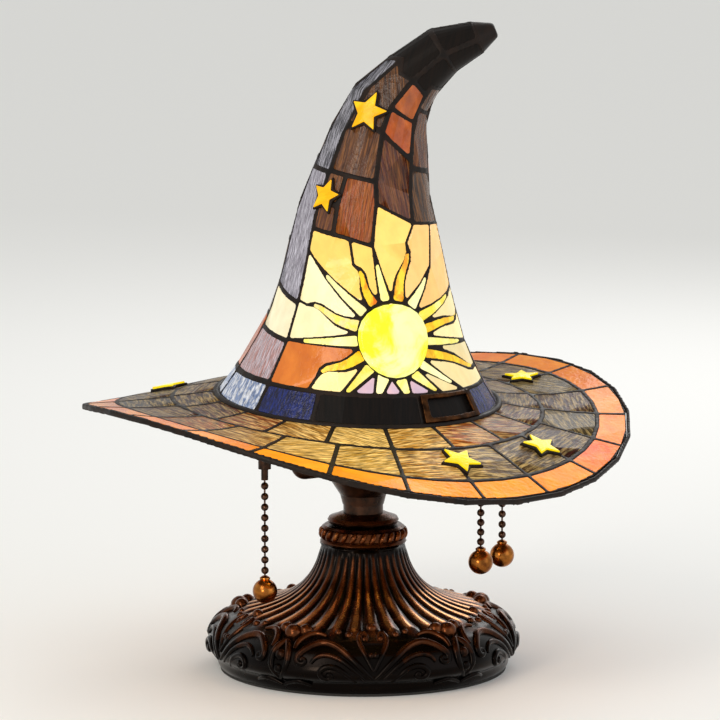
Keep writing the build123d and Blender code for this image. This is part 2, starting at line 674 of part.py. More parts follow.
def make_chain(top, bottom):
    """Bead chain as one turned string of beads and short links, standing on Z."""
    count = int((top - bottom) / BEAD_PITCH)
    pitch = (top - bottom) / count
    edges = []
    half = (BEAD_R ** 2 - LINK_R ** 2) ** 0.5
    height = top
    edges.append(Line((0, 0, top), (LINK_R, 0, top)).edge())
    for _ in range(count):
        middle = height - pitch / 2
        edges.append(Line((LINK_R, 0, height), (LINK_R, 0, middle + half)).edge())
        edges.append(ThreePointArc((LINK_R, 0, middle + half), (BEAD_R, 0, middle),
                                   (LINK_R, 0, middle - half)).edge())
        height -= pitch
        edges.append(Line((LINK_R, 0, middle - half), (LINK_R, 0, height)).edge())
    edges.append(Line((LINK_R, 0, bottom), (0, 0, bottom)).edge())
    edges.append(Line((0, 0, bottom), (0, 0, top)).edge())
    return turned(Wire(edges))


def make_chains():
    """Outlets, toggles, bead chains and balls."""
    save("chain_outlets", [make_outlet(direction, spot) for _, direction, spot, _ in CHAINS])
    for name, _, spot, ball_z in CHAINS:
        toggle = Pos(0, 0, TOGGLE_Z[0]) * Cylinder(TOGGLE_R, TOGGLE_Z[1] - TOGGLE_Z[0], align=STANDING)
        save(f"toggle_{name}", Pos(*spot) * toggle)
        neck_top = ball_z + BALL_R + BALL_NECK_H
        save(f"chain_{name}", Pos(*spot) * make_chain(TOGGLE_Z[0] - CHAIN_GAP, neck_top))
        ball = Pos(0, 0, ball_z) * Sphere(BALL_R)
        ball += Pos(0, 0, ball_z) * Cylinder(BALL_NECK_R, BALL_R + BALL_NECK_H, align=STANDING)
        save(f"pull_ball_{name}", Pos(*spot) * ball)


# ---------------------------------------------------------------- shade support
def make_support():
    """Seat on the rod, the spider soldered inside the crown, and the finial nut."""
    save("rod_seat", disc_with_bore(SEAT_R, ROD_R, SEAT_Z - SEAT_H, SEAT_Z))
    lift = SEAT_Z + SEAM
    spider = Pos(0, 0, lift) * Cylinder(HUB_R, HUB_H, align=STANDING)
    for k in range(SPOKE_COUNT):
        turn = 90 + 360 * k / SPOKE_COUNT
        length = RING_R - RING_WALL / 2
        spoke = Pos(length / 2, 0, lift + HUB_H / 2) * Box(length, SPOKE_W, HUB_H)
        spider += Pos(RING_X, 0, 0) * Rot(0, 0, turn) * spoke
    ring = Cylinder(RING_R, HUB_H, align=STANDING) - Cylinder(RING_R - RING_WALL, HUB_H, align=STANDING)
    spider += Pos(RING_X, 0, lift) * ring
    spider -= Pos(0, 0, lift) * Cylinder(ROD_R + HUB_CLEARANCE, HUB_H, align=STANDING)
    save("shade_spider", spider)
    finial_z = lift + HUB_H + SEAM
    finial = Pos(0, 0, finial_z) * Cylinder(FINIAL_R, FINIAL_H, align=STANDING)
    finial -= Pos(0, 0, finial_z) * Cylinder(ROD_R, FINIAL_H, align=STANDING)
    save("finial_nut", finial)


make_base()
make_cluster()
make_chains()
make_support()
make_crown()
make_brim()
make_overlays()
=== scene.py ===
"""Stained-glass witch-hat table lamp: the finished look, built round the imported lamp.

Every length in the classes' fields is in millimetres. Meshes are made in metres, in the lamp's
own frame: the foot stands on Z = 0, +Z is up and -Y is the front.
"""

import json
import logging
import math
import random
from dataclasses import dataclass, field
from enum import Enum
from typing import Callable, Iterable, Optional, Sequence

import bmesh
import bpy
from mathutils import Matrix, Vector


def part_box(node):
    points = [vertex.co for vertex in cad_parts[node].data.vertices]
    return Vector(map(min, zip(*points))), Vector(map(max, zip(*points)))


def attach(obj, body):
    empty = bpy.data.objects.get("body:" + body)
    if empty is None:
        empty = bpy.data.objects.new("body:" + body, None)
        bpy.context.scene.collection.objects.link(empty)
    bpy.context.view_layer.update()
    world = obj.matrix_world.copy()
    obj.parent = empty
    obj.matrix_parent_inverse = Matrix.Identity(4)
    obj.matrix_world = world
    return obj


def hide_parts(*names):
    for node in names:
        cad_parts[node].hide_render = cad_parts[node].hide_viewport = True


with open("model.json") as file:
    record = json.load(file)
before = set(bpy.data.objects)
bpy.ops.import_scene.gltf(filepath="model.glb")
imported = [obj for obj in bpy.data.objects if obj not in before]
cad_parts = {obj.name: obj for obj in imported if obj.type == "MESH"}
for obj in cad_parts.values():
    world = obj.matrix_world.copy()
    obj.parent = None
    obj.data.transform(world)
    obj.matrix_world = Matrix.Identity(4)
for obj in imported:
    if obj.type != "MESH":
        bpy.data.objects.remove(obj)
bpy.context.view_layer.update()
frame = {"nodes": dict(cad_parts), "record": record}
MM = 0.001
LOG = logging.getLogger("lamp")

Colour = tuple[float, float, float, float]
Section = tuple[float, float]
Spot = tuple[float, float, float]


# ---------------------------------------------------------------- small helpers
def linear(code: str) -> Colour:
    """Turn an sRGB hex colour into linear light.

    Args:
        code: six hex digits.
    Returns:
        The linear colour with an alpha of one.
    """
    parts = [int(code[i:i + 2], 16) / 255 for i in (0, 2, 4)]
    bright = [c / 12.92 if c <= 0.04045 else ((c + 0.055) / 1.055) ** 2.4 for c in parts]
    return (*bright, 1.0)


def add_node(tree: bpy.types.NodeTree, kind: str, settings: Optional[dict] = None,
             **inputs: object) -> bpy.types.Node:
    """Add a shader node, set its properties, and set or link its inputs.

    Args:
        tree: the node tree to add to.
        kind: the node's class name without the "ShaderNode" prefix.
        settings: properties of the node.
        **inputs: input names, with spaces as underscores, or i0, i1 for an input's place.
    Returns:
        The new node.
    """
    node = tree.nodes.new("ShaderNode" + kind)
    for key, value in (settings or {}).items():
        setattr(node, key, value)
    for key, value in inputs.items():
        place = int(key[1:]) if key[0] == "i" and key[1:].isdigit() else key.replace("_", " ")
        if isinstance(value, bpy.types.NodeSocket):
            tree.links.new(value, node.inputs[place])
        else:
            node.inputs[place].default_value = value
    return node


def new_material(name: str) -> tuple[bpy.types.Material, bpy.types.NodeTree, bpy.types.Node]:
    """Make an empty node material.

    Args:
        name: the material's name.
    Returns:
        The material, its tree and its Principled shader, already linked to the output.
    """
    material = bpy.data.materials.new(name)
    material.use_nodes = True
    tree = material.node_tree
    tree.nodes.clear()
    output = tree.nodes.new("ShaderNodeOutputMaterial")
    shader = tree.nodes.new("ShaderNodeBsdfPrincipled")
    tree.links.new(shader.outputs[0], output.inputs[0])
    return material, tree, shader


def mesh_object(name: str, bm: bmesh.types.BMesh, material: bpy.types.Material,
                smooth_below: float = 35.0) -> bpy.types.Object:
    """Turn a bmesh into a linked, smooth-shaded object.

    Args:
        name: the piece's name.
        bm: the bmesh, which is freed.
        material: the piece's material.
        smooth_below: edges sharper than this, in degrees, stay hard.
    Returns:
        The new object, at the origin.
    """
    mesh = bpy.data.meshes.new(name)
    bm.to_mesh(mesh)
    bm.free()
    mesh.materials.append(material)
    mesh.shade_smooth()
    mesh.set_sharp_from_angle(angle=math.radians(smooth_below))
    piece = bpy.data.objects.new(name, mesh)
    bpy.context.scene.collection.objects.link(piece)
    return piece


def merged_copy(nodes: Iterable[str]) -> bmesh.types.BMesh:
    """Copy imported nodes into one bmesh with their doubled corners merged.

    Args:
        nodes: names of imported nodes.
    Returns:
        Their joined skins, with faces pointing outwards.
    """
    bm = bmesh.new()
    for node in nodes:
        bm.from_mesh(frame["nodes"][node].data)
    return closed(bm, 0.004)


def middle_of(corners: Sequence[bmesh.types.BMVert]) -> Vector:
    """Mean place of some corners."""
    return sum((corner.co for corner in corners), Vector()) / len(corners)


def islands(bm: bmesh.types.BMesh) -> list[list[bmesh.types.BMVert]]:
    """Group a bmesh's corners into its separate solids.

    Args:
        bm: a bmesh whose corners are indexed.
    Returns:
        One list of corners for each solid, in the order of their first corners.
    """
    left, groups = set(bm.verts), []
    while left:
        seed = min(left, key=lambda v: v.index)
        group, open_ends = {seed}, [seed]
        while open_ends:
            corner = open_ends.pop()
            for side in corner.link_edges:
                other = side.other_vert(corner)
                if other not in group:
                    group.add(other)
                    open_ends.append(other)
        left -= group
        groups.append(sorted(group, key=lambda v: v.index))
    return groups


def remeshed(bm: bmesh.types.BMesh, voxel: float, rounds: int) -> bmesh.types.BMesh:
    """Fuse a bmesh into one rounded skin, as molten metal is.

    Args:
        bm: closed solids; the bmesh is freed.
        voxel: size of the remesh cell, in mm.
        rounds: number of smoothing rounds.
    Returns:
        A new bmesh with the fused skin.
    """
    mesh = bpy.data.meshes.new("solder_blank")
    bm.to_mesh(mesh)
    bm.free()
    blank = bpy.data.objects.new("solder_blank", mesh)
    bpy.context.scene.collection.objects.link(blank)
    modifier = blank.modifiers.new("fuse", "REMESH")
    modifier.mode = "VOXEL"
    modifier.voxel_size = voxel * MM
    depsgraph = bpy.context.evaluated_depsgraph_get()
    fused = bpy.data.meshes.new_from_object(blank.evaluated_get(depsgraph))
    result = bmesh.new()
    result.from_mesh(fused)
    bpy.data.objects.remove(blank)
    for _ in range(rounds):
        bmesh.ops.smooth_vert(result, verts=result.verts, factor=0.5,
                              use_axis_x=True, use_axis_y=True, use_axis_z=True)
    return result


def stand(piece: bpy.types.Object, body: str, nodes: Sequence[str] = ()) -> None:
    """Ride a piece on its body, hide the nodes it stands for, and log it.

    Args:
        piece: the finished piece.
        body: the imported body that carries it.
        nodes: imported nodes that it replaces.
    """
    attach(piece, body)
    if nodes:
        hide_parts(*nodes)
    LOG.info("%s: %d faces on %s", piece.name, len(piece.data.polygons), body)


def smooth_path(points: Sequence[Section], steps: int) -> list[Section]:
    """Points on a smooth curve through the given ones (Catmull-Rom).

    Args:
        points: the points to pass through.
        steps: points made for each stretch.
    Returns:
        The smooth list, both ends included.
    """
    ends = [points[0], *points, points[-1]]
    path = []
    for p0, p1, p2, p3 in zip(ends, ends[1:], ends[2:], ends[3:]):
        for k in range(steps):
            t = k / steps
            path.append(tuple(0.5 * (2 * b + (c - a) * t + (2 * a - 5 * b + 4 * c - d) * t * t
                                     + (3 * b - a - 3 * c + d) * t ** 3)
                              for a, b, c, d in zip(p0, p1, p2, p3)))
    return path + [tuple(points[-1])]


def closed(bm: bmesh.types.BMesh, reach: float = 0.001) -> bmesh.types.BMesh:
    """Merge doubled corners, and turn the faces outwards.

    Args:
        bm: the bmesh to close.
        reach: corners nearer to each other than this, in mm, are merged.
    Returns:
        The same bmesh.
    """
    bmesh.ops.remove_doubles(bm, verts=bm.verts, dist=reach * MM)
    bmesh.ops.recalc_face_normals(bm, faces=bm.faces)
    return bm


def spun(profile: Sequence[Section], steps: int) -> bmesh.types.BMesh:
    """Spin a half section about Z.

    Args:
        profile: radius and height pairs, in mm.
        steps: facets round the turn.
    Returns:
        The turned bmesh.
    """
    bm = bmesh.new()
    corners = [bm.verts.new((radius * MM, 0, height * MM)) for radius, height in profile]
    edges = [bm.edges.new(pair) for pair in zip(corners, corners[1:])]
    bmesh.ops.spin(bm, geom=corners + edges, cent=(0, 0, 0), axis=(0, 0, 1), dvec=(0, 0, 0),
                   angle=2 * math.pi, steps=steps, use_merge=True, use_duplicate=False)
    return closed(bm)


def paint(bm: bmesh.types.BMesh, name: str, value: Callable[[bmesh.types.BMVert], float]) -> None:
    """Store a number on each corner, for a material to read.

    Args:
        bm: the bmesh to paint.
        name: the attribute's name.
        value: gives a corner's number.
    """
    layer = bm.verts.layers.float.new(name)
    for corner in bm.verts:
        corner[layer] = value(corner)


# ---------------------------------------------------------------- finishes
class Figure(Enum):
    """How a sheet of art glass is figured."""
    WISPY = "clouds as broad as they are long, stirred together"
    STREAKED = "long streaks drawn out by the rollers"


@dataclass(frozen=True)
class ArtGlass:
    """Art glass, hand-rolled: milky colour with a painted glow where lamplight comes through it.

    The grain is a streak's length and width in mm, ripple is the spacing of the dimples that the
    rollers leave, and veins are the darkest and lightest shade of a streak. The painted glow, an
    emission, falls from glow near the bulbs to glow_rest of it at glow_far, both measured from
    glow_centre in mm.
    """
    name: str
    figure: Figure
    accent: str
    accent_share: float = 0.45
    grain: Section = (26.0, 2.4)
    ripple: float = 3.0
    ripple_depth: float = 0.35
    veins: Section = (0.94, 1.05)
    edge: float = 0.2
    roughness: float = 0.16
    body: float = 0.45
    shine: float = 0.35
    glow: float = 0.8
    glow_centre: Spot = (0.0, -10.0, 212.0)
    glow_near: float = 55.0
    glow_far: float = 190.0
    glow_rest: float = 0.12

    def build(self) -> bpy.types.Material:
        """Mix each pane's own colour, its pane_colour attribute, with this glass's figure.

        Returns:
            The material.
        """
        material, tree, shader = new_material(self.name)
        colour = add_node(tree, "Attribute", {"attribute_name": "pane_colour"}).outputs["Color"]
        sheet = add_node(tree, "UVMap", {"uv_map": "sheet"}).outputs[0]
        long, wide = self.grain
        if self.figure is Figure.WISPY:
            long, wide = long * 0.8, wide * 7
        stretched = add_node(tree, "Mapping", Vector=sheet, Scale=(1 / long, 1 / wide, 1))
        streak = add_node(tree, "TexNoise", Vector=stretched.outputs[0], Scale=1.0, Detail=5.0,
                          Roughness=0.62, Distortion=0.9 if self.figure is Figure.WISPY else 0.35)
        share = add_node(tree, "MapRange", {"interpolation_type": "SMOOTHSTEP"},
                         Value=streak.outputs[0], From_Min=0.5 - self.edge,
                         From_Max=0.5 + self.edge, To_Min=0.0, To_Max=self.accent_share)
        mixed = add_node(tree, "Mix", {"data_type": "RGBA"}, i0=share.outputs[0], i6=colour,
                         i7=linear(self.accent))
        fine = add_node(tree, "TexNoise", Vector=stretched.outputs[0], Scale=2.1, Detail=4.0)
        shade = add_node(tree, "MapRange", Value=fine.outputs[0], From_Min=0.36, From_Max=0.64,
                         To_Min=self.veins[0], To_Max=self.veins[1])
        tinted = add_node(tree, "Mix", {"data_type": "RGBA", "blend_type": "MULTIPLY"}, i0=1.0,
                          i6=mixed.outputs[2], i7=shade.outputs[0])
        deep = add_node(tree, "Mix", {"data_type": "RGBA", "blend_type": "MULTIPLY"}, i0=1.0,
                        i6=tinted.outputs[2], i7=(self.body, self.body, self.body, 1.0))
        vivid = add_node(tree, "HueSaturation", Saturation=1.06, Color=tinted.outputs[2])
        tree.links.new(deep.outputs[2], shader.inputs["Base Color"])
        tree.links.new(vivid.outputs[0], shader.inputs["Emission Color"])

        # Painted glow: emission stands in for the bulbs' light through the glass, fading away from
        # glow_centre and mottled by the streaks.
        place = add_node(tree, "TexCoord").outputs["Object"]
        reach = add_node(tree, "VectorMath", {"operation": "DISTANCE"}, i0=place,
                         i1=tuple(c * MM for c in self.glow_centre))
        fade = add_node(tree, "MapRange", {"interpolation_type": "SMOOTHSTEP"},
                        Value=reach.outputs["Value"], From_Min=self.glow_near * MM,
                        From_Max=self.glow_far * MM, To_Min=self.glow,
                        To_Max=self.glow * self.glow_rest)
        mottle = add_node(tree, "MapRange", Value=streak.outputs[0], From_Min=0.3, From_Max=0.7,
                          To_Min=2 * self.veins[0] / 3 + 0.3, To_Max=1.1)
        lit = add_node(tree, "Math", {"operation": "MULTIPLY"}, i0=fade.outputs[0],
                       i1=mottle.outputs[0])
        tree.links.new(lit.outputs[0], shader.inputs["Emission Strength"])

        seeds = add_node(tree, "TexNoise", Vector=sheet, Scale=1 / self.ripple, Detail=2.0)
        height = add_node(tree, "Math", {"operation": "ADD"}, i0=seeds.outputs[0],
                          i1=streak.outputs[0])
        bump = add_node(tree, "Bump", Strength=0.6, Distance=self.ripple_depth * MM,
                        Height=height.outputs[0])
        tree.links.new(bump.outputs[0], shader.inputs["Normal"])
        shader.inputs["Roughness"].default_value = self.roughness
        shader.inputs["IOR"].default_value = 1.52
        shader.inputs["Specular IOR Level"].default_value = self.shine
        return material


@dataclass(frozen=True)
class CastBronze:
    """Cast zinc with a bronze lacquer, rubbed back by hand.

    To the eye: near black in the hollows, chocolate on the flanks and copper on the ridges, with a
    low gloss that changes over the piece and a fine cast grain. The dark hollows are the lacquer's
    own; the brightest copper on the ridges is a painted highlight.
    """
    name: str = "bronze_lacquer_rubbed_and_painted_highlight"
    hollow: str = "0b0604"
    ridge: str = "6a3a1c"
    bright: str = "e09a54"
    metallic: float = 0.9
    grit: float = 0.9

    def build(self) -> bpy.types.Material:
        """Colour the casting by its attribute that says how far a corner stands out, with painted
        highlights added on the ridges.

        Returns:
            The material.
        """
        material, tree, shader = new_material(self.name)
        relief_and_highlight = add_node(tree, "Attribute", {"attribute_name": "relief_and_highlight"}).outputs["Fac"]
        place = add_node(tree, "TexCoord").outputs["Object"]
        cloud = add_node(tree, "TexNoise", Vector=place, Scale=1 / (9 * MM), Detail=5.0,
                         Roughness=0.6)
        worn = add_node(tree, "Math", {"operation": "MULTIPLY_ADD"}, i0=cloud.outputs[0], i1=0.5,
                        i2=-0.25)
        # How far a corner stands out, with its painted highlight, plus random wear from the cloud.
        rubbed = add_node(tree, "Math", {"operation": "ADD", "use_clamp": True}, i0=relief_and_highlight,
                          i1=worn.outputs[0])
        ramp = add_node(tree, "ValToRGB", Fac=rubbed.outputs[0])
        stops = ramp.color_ramp.elements
        stops[0].position, stops[0].color = 0.3, linear(self.hollow)
        stops[1].position, stops[1].color = 0.75, linear(self.ridge)
        # Painted highlight: bright copper at the top of the ramp.
        top = stops.new(0.97)
        top.color = linear(self.bright)
        tree.links.new(ramp.outputs[0], shader.inputs["Base Color"])
        rough = add_node(tree, "MapRange", Value=cloud.outputs[0], From_Min=0.3, From_Max=0.7,
                         To_Min=0.16, To_Max=0.32)
        tree.links.new(rough.outputs[0], shader.inputs["Roughness"])
        grain = add_node(tree, "TexNoise", Vector=place, Scale=1 / (self.grit * MM), Detail=3.0)
        bump = add_node(tree, "Bump", Strength=0.35, Distance=0.12 * MM, Height=grain.outputs[0])
        tree.links.new(bump.outputs[0], shader.inputs["Normal"])
        shader.inputs["Metallic"].default_value = self.metallic
        return material


@dataclass(frozen=True)
class Stock:
    """Plain stock, of metal, felt or nylon: a base colour with stains and an uneven gloss.

    The patch is the size of a stain in mm, rough is the lowest and highest roughness, and dent is
    the depth of the small unevenness in mm.
    """
    name: str
    colour: str
    stain: str
    metallic: float = 1.0
    rough: Section = (0.25, 0.42)
    patch: float = 6.0
    dent: float = 0.08
    shine: float = 0.5

    def build(self) -> bpy.types.Material:
        """Lay the stains, the gloss and the unevenness out on Object coordinates.

        Returns:
            The material.
        """
        material, tree, shader = new_material(self.name)
        place = add_node(tree, "TexCoord").outputs["Object"]
        cloud = add_node(tree, "TexNoise", Vector=place, Scale=1 / (self.patch * MM), Detail=5.0)
        share = add_node(tree, "MapRange", Value=cloud.outputs[0], From_Min=0.35, From_Max=0.68)
        mixed = add_node(tree, "Mix", {"data_type": "RGBA"}, i0=share.outputs[0],
                         i6=linear(self.colour), i7=linear(self.stain))
        tree.links.new(mixed.outputs[2], shader.inputs["Base Color"])
        rough = add_node(tree, "MapRange", Value=cloud.outputs[0], From_Min=0.3, From_Max=0.7,
                         To_Min=self.rough[0], To_Max=self.rough[1])
        tree.links.new(rough.outputs[0], shader.inputs["Roughness"])
        dents = add_node(tree, "TexNoise", Vector=place, Scale=1 / (2.2 * MM), Detail=3.0)
        bump = add_node(tree, "Bump", Strength=0.5, Distance=self.dent * MM,
                        Height=dents.outputs[0])
        tree.links.new(bump.outputs[0], shader.inputs["Normal"])
        shader.inputs["Metallic"].default_value = self.metallic
        shader.inputs["Specular IOR Level"].default_value = self.shine
        return material


@dataclass(frozen=True)
class BulbGlass:
    """Soda glass, blown and acid frosted, lit from inside.

    To the eye: a warm white glow with no filament to be seen, and a soft satin skin.
    """
    name: str = "soda_glass_frosted_lit"
    colour: str = "fff0cf"
    light: str = "ffd99a"
    glow: float = 3.0

    def build(self) -> bpy.types.Material:
        """Frost the glass on Object coordinates, and light it.

        Returns:
            The material.
        """
        material, tree, shader = new_material(self.name)
        place = add_node(tree, "TexCoord").outputs["Object"]
        frost = add_node(tree, "TexNoise", Vector=place, Scale=1 / (1.2 * MM), Detail=2.0)
        rough = add_node(tree, "MapRange", Value=frost.outputs[0], To_Min=0.35, To_Max=0.6)
        tree.links.new(rough.outputs[0], shader.inputs["Roughness"])
        shader.inputs["Base Color"].default_value = linear(self.colour)
        shader.inputs["Emission Color"].default_value = linear(self.light)
        shader.inputs["Emission Strength"].default_value = self.glow
        return material


# ---------------------------------------------------------------- shade
@dataclass
class PaneGroup:
    """One node of panes: its finish, its colours, and how far its grain turns in degrees."""
    node: str
    glass: ArtGlass
    colours: Sequence[str]
    swing: float = 12.0


# Opalescent glass, hand-rolled: milky cream with faint amber clouds, lit right through.
CREAM = ArtGlass("opalescent_glass_cream_rolled", Figure.WISPY, accent="f3a24c",
                 accent_share=0.2, glow=0.72, glow_near=75.0, glow_far=150.0, glow_rest=0.7)
# Opalescent glass slumped in a mould: a smooth, glossy yellow dome with pale clouds.
SUN = ArtGlass("opalescent_glass_sun_slumped", Figure.WISPY, accent="fdfedc",
               accent_share=0.5, glow=0.85, grain=(34.0, 4.0), roughness=0.1, glow_rest=1.0,
               edge=0.12)
# Opalescent glass, hand-rolled: lemon that fades to cream in broad, soft clouds.
RAY = ArtGlass("opalescent_glass_ray_rolled", Figure.WISPY, accent="fdf8cc",
               accent_share=0.5, glow=0.8, glow_near=60.0, glow_far=130.0, glow_rest=0.8)
# Streaky glass, hand-rolled: orange stirred with yellow, in narrow licks.
FLAME = ArtGlass("streaky_glass_flame_rolled", Figure.WISPY, accent="fae04a",
                 accent_share=0.75, glow=0.75, grain=(12.0, 1.0), glow_rest=0.85, edge=0.1)
# Streaky glass, hand-rolled: chocolate and russet grain like planed walnut.
BROWN = ArtGlass("streaky_glass_brown_rolled", Figure.STREAKED, accent="b4763c",
                 accent_share=0.4, glow=0.4, glow_near=60.0, glow_far=170.0, glow_rest=0.35,
                 ripple_depth=0.6, veins=(0.45, 1.3), edge=0.08, grain=(24.0, 1.8))
# Streaky glass, hand-rolled: burnt orange with lighter drifts, less see-through.
AMBER = ArtGlass("streaky_glass_amber_rolled", Figure.WISPY, accent="c8743c", glow=0.6,
                 glow_near=120.0, glow_far=260.0, glow_rest=0.5, veins=(0.75, 1.15))
# Rippled glass, roller-drawn: grey-violet, with close pale ripples like combed silk.
SLATE = ArtGlass("rippled_glass_slate_rolled", Figure.STREAKED, accent="e6e4f2", glow=0.3,
                 accent_share=0.7, grain=(11.0, 1.3), ripple=1.6, ripple_depth=0.9,
                 roughness=0.2, body=0.5, shine=0.4, veins=(0.4, 1.2), edge=0.07)
# Opaque glass, hand-rolled: near black, no light through it, and a dull face.
DARK = ArtGlass("opaque_glass_black_rolled", Figure.STREAKED, accent="2d1e16", glow=0.0,
                ripple=6.0, ripple_depth=0.2, roughness=0.45, shine=0.12)
# Rippled glass, roller-drawn: pale blue broken by short white ripples, like icy water.
BLUE = ArtGlass("rippled_glass_blue_rolled", Figure.STREAKED, accent="f6f9ff", accent_share=0.85,
                grain=(6.0, 2.6), ripple=2.4, ripple_depth=0.8, glow=0.4, glow_near=80.0,
                veins=(0.6, 1.2), edge=0.07)
# Cathedral glass, roller-drawn: deep navy with flecks of clear blue.
NAVY = ArtGlass("cathedral_glass_navy_rolled", Figure.STREAKED, accent="2c44a8", accent_share=0.5,
                grain=(6.0, 2.0), ripple=2.0, ripple_depth=0.7, glow=0.25, glow_near=80.0,
                glow_rest=0.3, veins=(0.6, 1.25), edge=0.1)
# Opalescent glass, hand-rolled: orange with yellow drifts, with a painted glow strongest at the
# front of the brim.
BORDER = ArtGlass("opalescent_glass_orange_rolled", Figure.WISPY, accent="fbb44e", glow=0.78,
                  accent_share=0.35, glow_centre=(10.0, -165.0, 145.0), glow_near=90.0,
                  glow_far=320.0, glow_rest=0.6, shine=0.08)
# Streaky glass, hand-rolled: gold and brown wood grain, with a painted glow for the bulbs' light,
# centred on the front of the brim.
GRAIN = ArtGlass("streaky_glass_woodgrain_rolled", Figure.STREAKED, accent="f4cf86",
                 accent_share=0.55, grain=(18.0, 2.2), ripple=2.6, ripple_depth=0.6, glow=1.15,
                 glow_centre=(0.0, -130.0, 158.0), glow_near=35.0, glow_far=130.0,
                 glow_rest=0.15, body=0.42, shine=0.08, roughness=0.3, veins=(0.2, 1.3),
                 edge=0.06)
# Opalescent glass, ground at its edges: clear yellow with soft paler clouds.
STAR = ArtGlass("opalescent_glass_star_rolled", Figure.WISPY, accent="fbf14f", glow=0.75,
                accent_share=0.4, glow_centre=(0.0, -60.0, 190.0), glow_far=400.0, glow_rest=0.9,
                shine=0.2)


@dataclass
class LeadedShade:
    """The hat: panes of art glass held in solder lines, with stars, buckle and a metal tip."""
    body: str = "shade"
    came_voxel: float = 0.95
    came_proud: float = 0.35
    pane_tuck: float = 0.35
    front_voxel: float = 0.8
    brim_voxel: float = 1.0
    fine_voxel: float = 0.65
    dome_height: float = 4.6
    sun_widening: float = 0.1
    star_margin: float = 2.0
    star_sink: float = 0.3
    star_bed_drop: float = 1.4
    star_edge: float = 0.5
    foot_joint_radius: float = 88.6
    foot_joint_rise: float = 1.0
    foot_joint_bead: float = 1.9
    tip_growth: float = 1.05
    tip_shift: Spot = (-1.3, 0.0, -0.5)
    first_joint: float = 10.8
    sun_at: Section = (20.0, 218.0)
    sun_colour: str = "f8f83c"
    star_colours: tuple[str, str] = ("f9ac08", "f9d416")
    flame_colours: tuple[tuple[float, str], ...] = (
        (40, "f7a41e"), (200, "f9bc2a"), (262, "f7b028"), (300, "fbe6a0"), (361, "ee7a20"))
    hat_middle: Spot = (-3.5, 0.0, 171.0)
    lean: float = 4.1
    lean_towards: float = 38.5
    spine: tuple[tuple[float, float], ...] = ((-3.5, 171.0), (-0.5, 214.0), (0.5, 243.0),
                                              (2.0, 292.0), (6.5, 318.0), (13.5, 349.0),
                                              (28.0, 370.0), (49.0, 388.0), (83.0, 402.0))
    finishes: dict[str, bpy.types.Material] = field(default_factory=dict)
    slots: dict[str, str] = field(default_factory=dict)

    def outward(self, spot: Vector, brim: bool) -> Vector:
        """Direction that points out of the shade at a spot.

        Args:
            spot: a point on the shade, in metres.
            brim: whether it is on the brim, which faces up.
        Returns:
            A unit vector.
        """
        if brim:
            return Vector((0, 0, 1))
        inner = min((Vector((x * MM, 0, z * MM)) for x, z in self.spine_points()),
                    key=lambda point: (point - spot).length)
        return (spot - inner).normalized()

    def spine_points(self) -> list[Section]:
        """Close points up the crown's middle line, as side and height in mm."""
        return smooth_path(self.spine, 6)

    def round_from_front(self, spot: Vector) -> float:
        """Degrees from the front to a spot, towards the lamp's right."""
        return math.degrees(math.atan2(spot.x, -spot.y)) % 360

    def groups(self) -> list[PaneGroup]:
        """Every node of panes, with the colours of its panes in the order round the hat.

        Returns:
            The groups, in the order in which they are cut.
        """
        return [
            PaneGroup("sun_rays", RAY, ["f9ec74", "fbf2a4", "f8e252"]),
            PaneGroup("sun_flames", FLAME, ["f7a81e"]),
            PaneGroup("sun_field_panes", CREAM, ["faf1c0"]),
            PaneGroup("crown_cream_panes", CREAM, ["f6f0cc"]),
            PaneGroup("crown_brown_panes", BROWN, ["6a4030", "7c4e34", "a5532a", "6e4632",
                                                   "5b2a1c", "483328", "5a2c1c", "442518",
                                                   "4a2c1c"]),
            PaneGroup("crown_amber_panes", AMBER, ["a0461c", "90441f", "b85a28"]),
            PaneGroup("crown_slate_panes", SLATE, ["8c8ca4", "b4aebe", "5c5a6a"]),
            PaneGroup("crown_dark_panes", DARK, ["16100b"]),
            PaneGroup("band_blue_panes", BLUE, ["8aa0cc"]),
            PaneGroup("band_navy_panes", NAVY, ["14143e"]),
            PaneGroup("band_black_panes", DARK, ["0c0806"]),
            PaneGroup("brim_border_panes", BORDER,
                      ["f98e22", "f9921f", "f8861c", "f5600e", "f47616", "f68a24", "f07a24",
                       "f58a2c", "ee7626", "f58628", "f27e24", "f58c30", "ea7024", "f08028",
                       "e87026", "cc5a1c", "a04a20", "a85224", "d06420", "f08426", "f9962c",
                       "f98e22"]),
            # The front panes in both brim lists are lighter gold: partly the glass's own grain,
            # partly painted glow.
            PaneGroup("brim_outer_panes", GRAIN, swing=34.0, colours=
                      ["b07a36", "80603a", "6e5030", "54200f", "74603c", "5a2014", "7c6844",
                       "6e4a2c", "7a5232", "5c3a24", "6e4a2e", "7c5432", "643c24", "70482c",
                       "7e5634", "5a3018", "402414", "6a3420", "c0601f", "bc8440", "d0a050",
                       "cc9a48"]),
            PaneGroup("brim_inner_panes", GRAIN, swing=34.0, colours=
                      ["c48c40", "c06628", "a05428", "702c18", "6a3c26", "74482c", "64402a",
                       "74502f", "6a4028", "7a5232", "64402a", "704a2e", "6a3e28", "5c3224",
                       "764030", "a05a30", "c08a44", "d4a85c"]),
        ]

    def pane_colour(self, group: PaneGroup, middle: Vector, rank: int) -> str:
        """Colour of one pane.

        Args:
            group: the pane's group.
            middle: the pane's middle, in metres.
            rank: the pane's place in its node.
        Returns:
            A hex colour.
        """
        if group.node.startswith("brim_"):
            count = len(group.colours)
            turn = (self.round_from_front(middle) - self.first_joint) % 360
            return group.colours[int(turn / (360 / count)) % count]
        side, height = middle.x / MM, middle.z / MM
        if group.node == "sun_flames":
            turn = math.degrees(math.atan2(side - self.sun_at[0], height - self.sun_at[1])) % 360
            return next(colour for limit, colour in self.flame_colours if turn < limit)
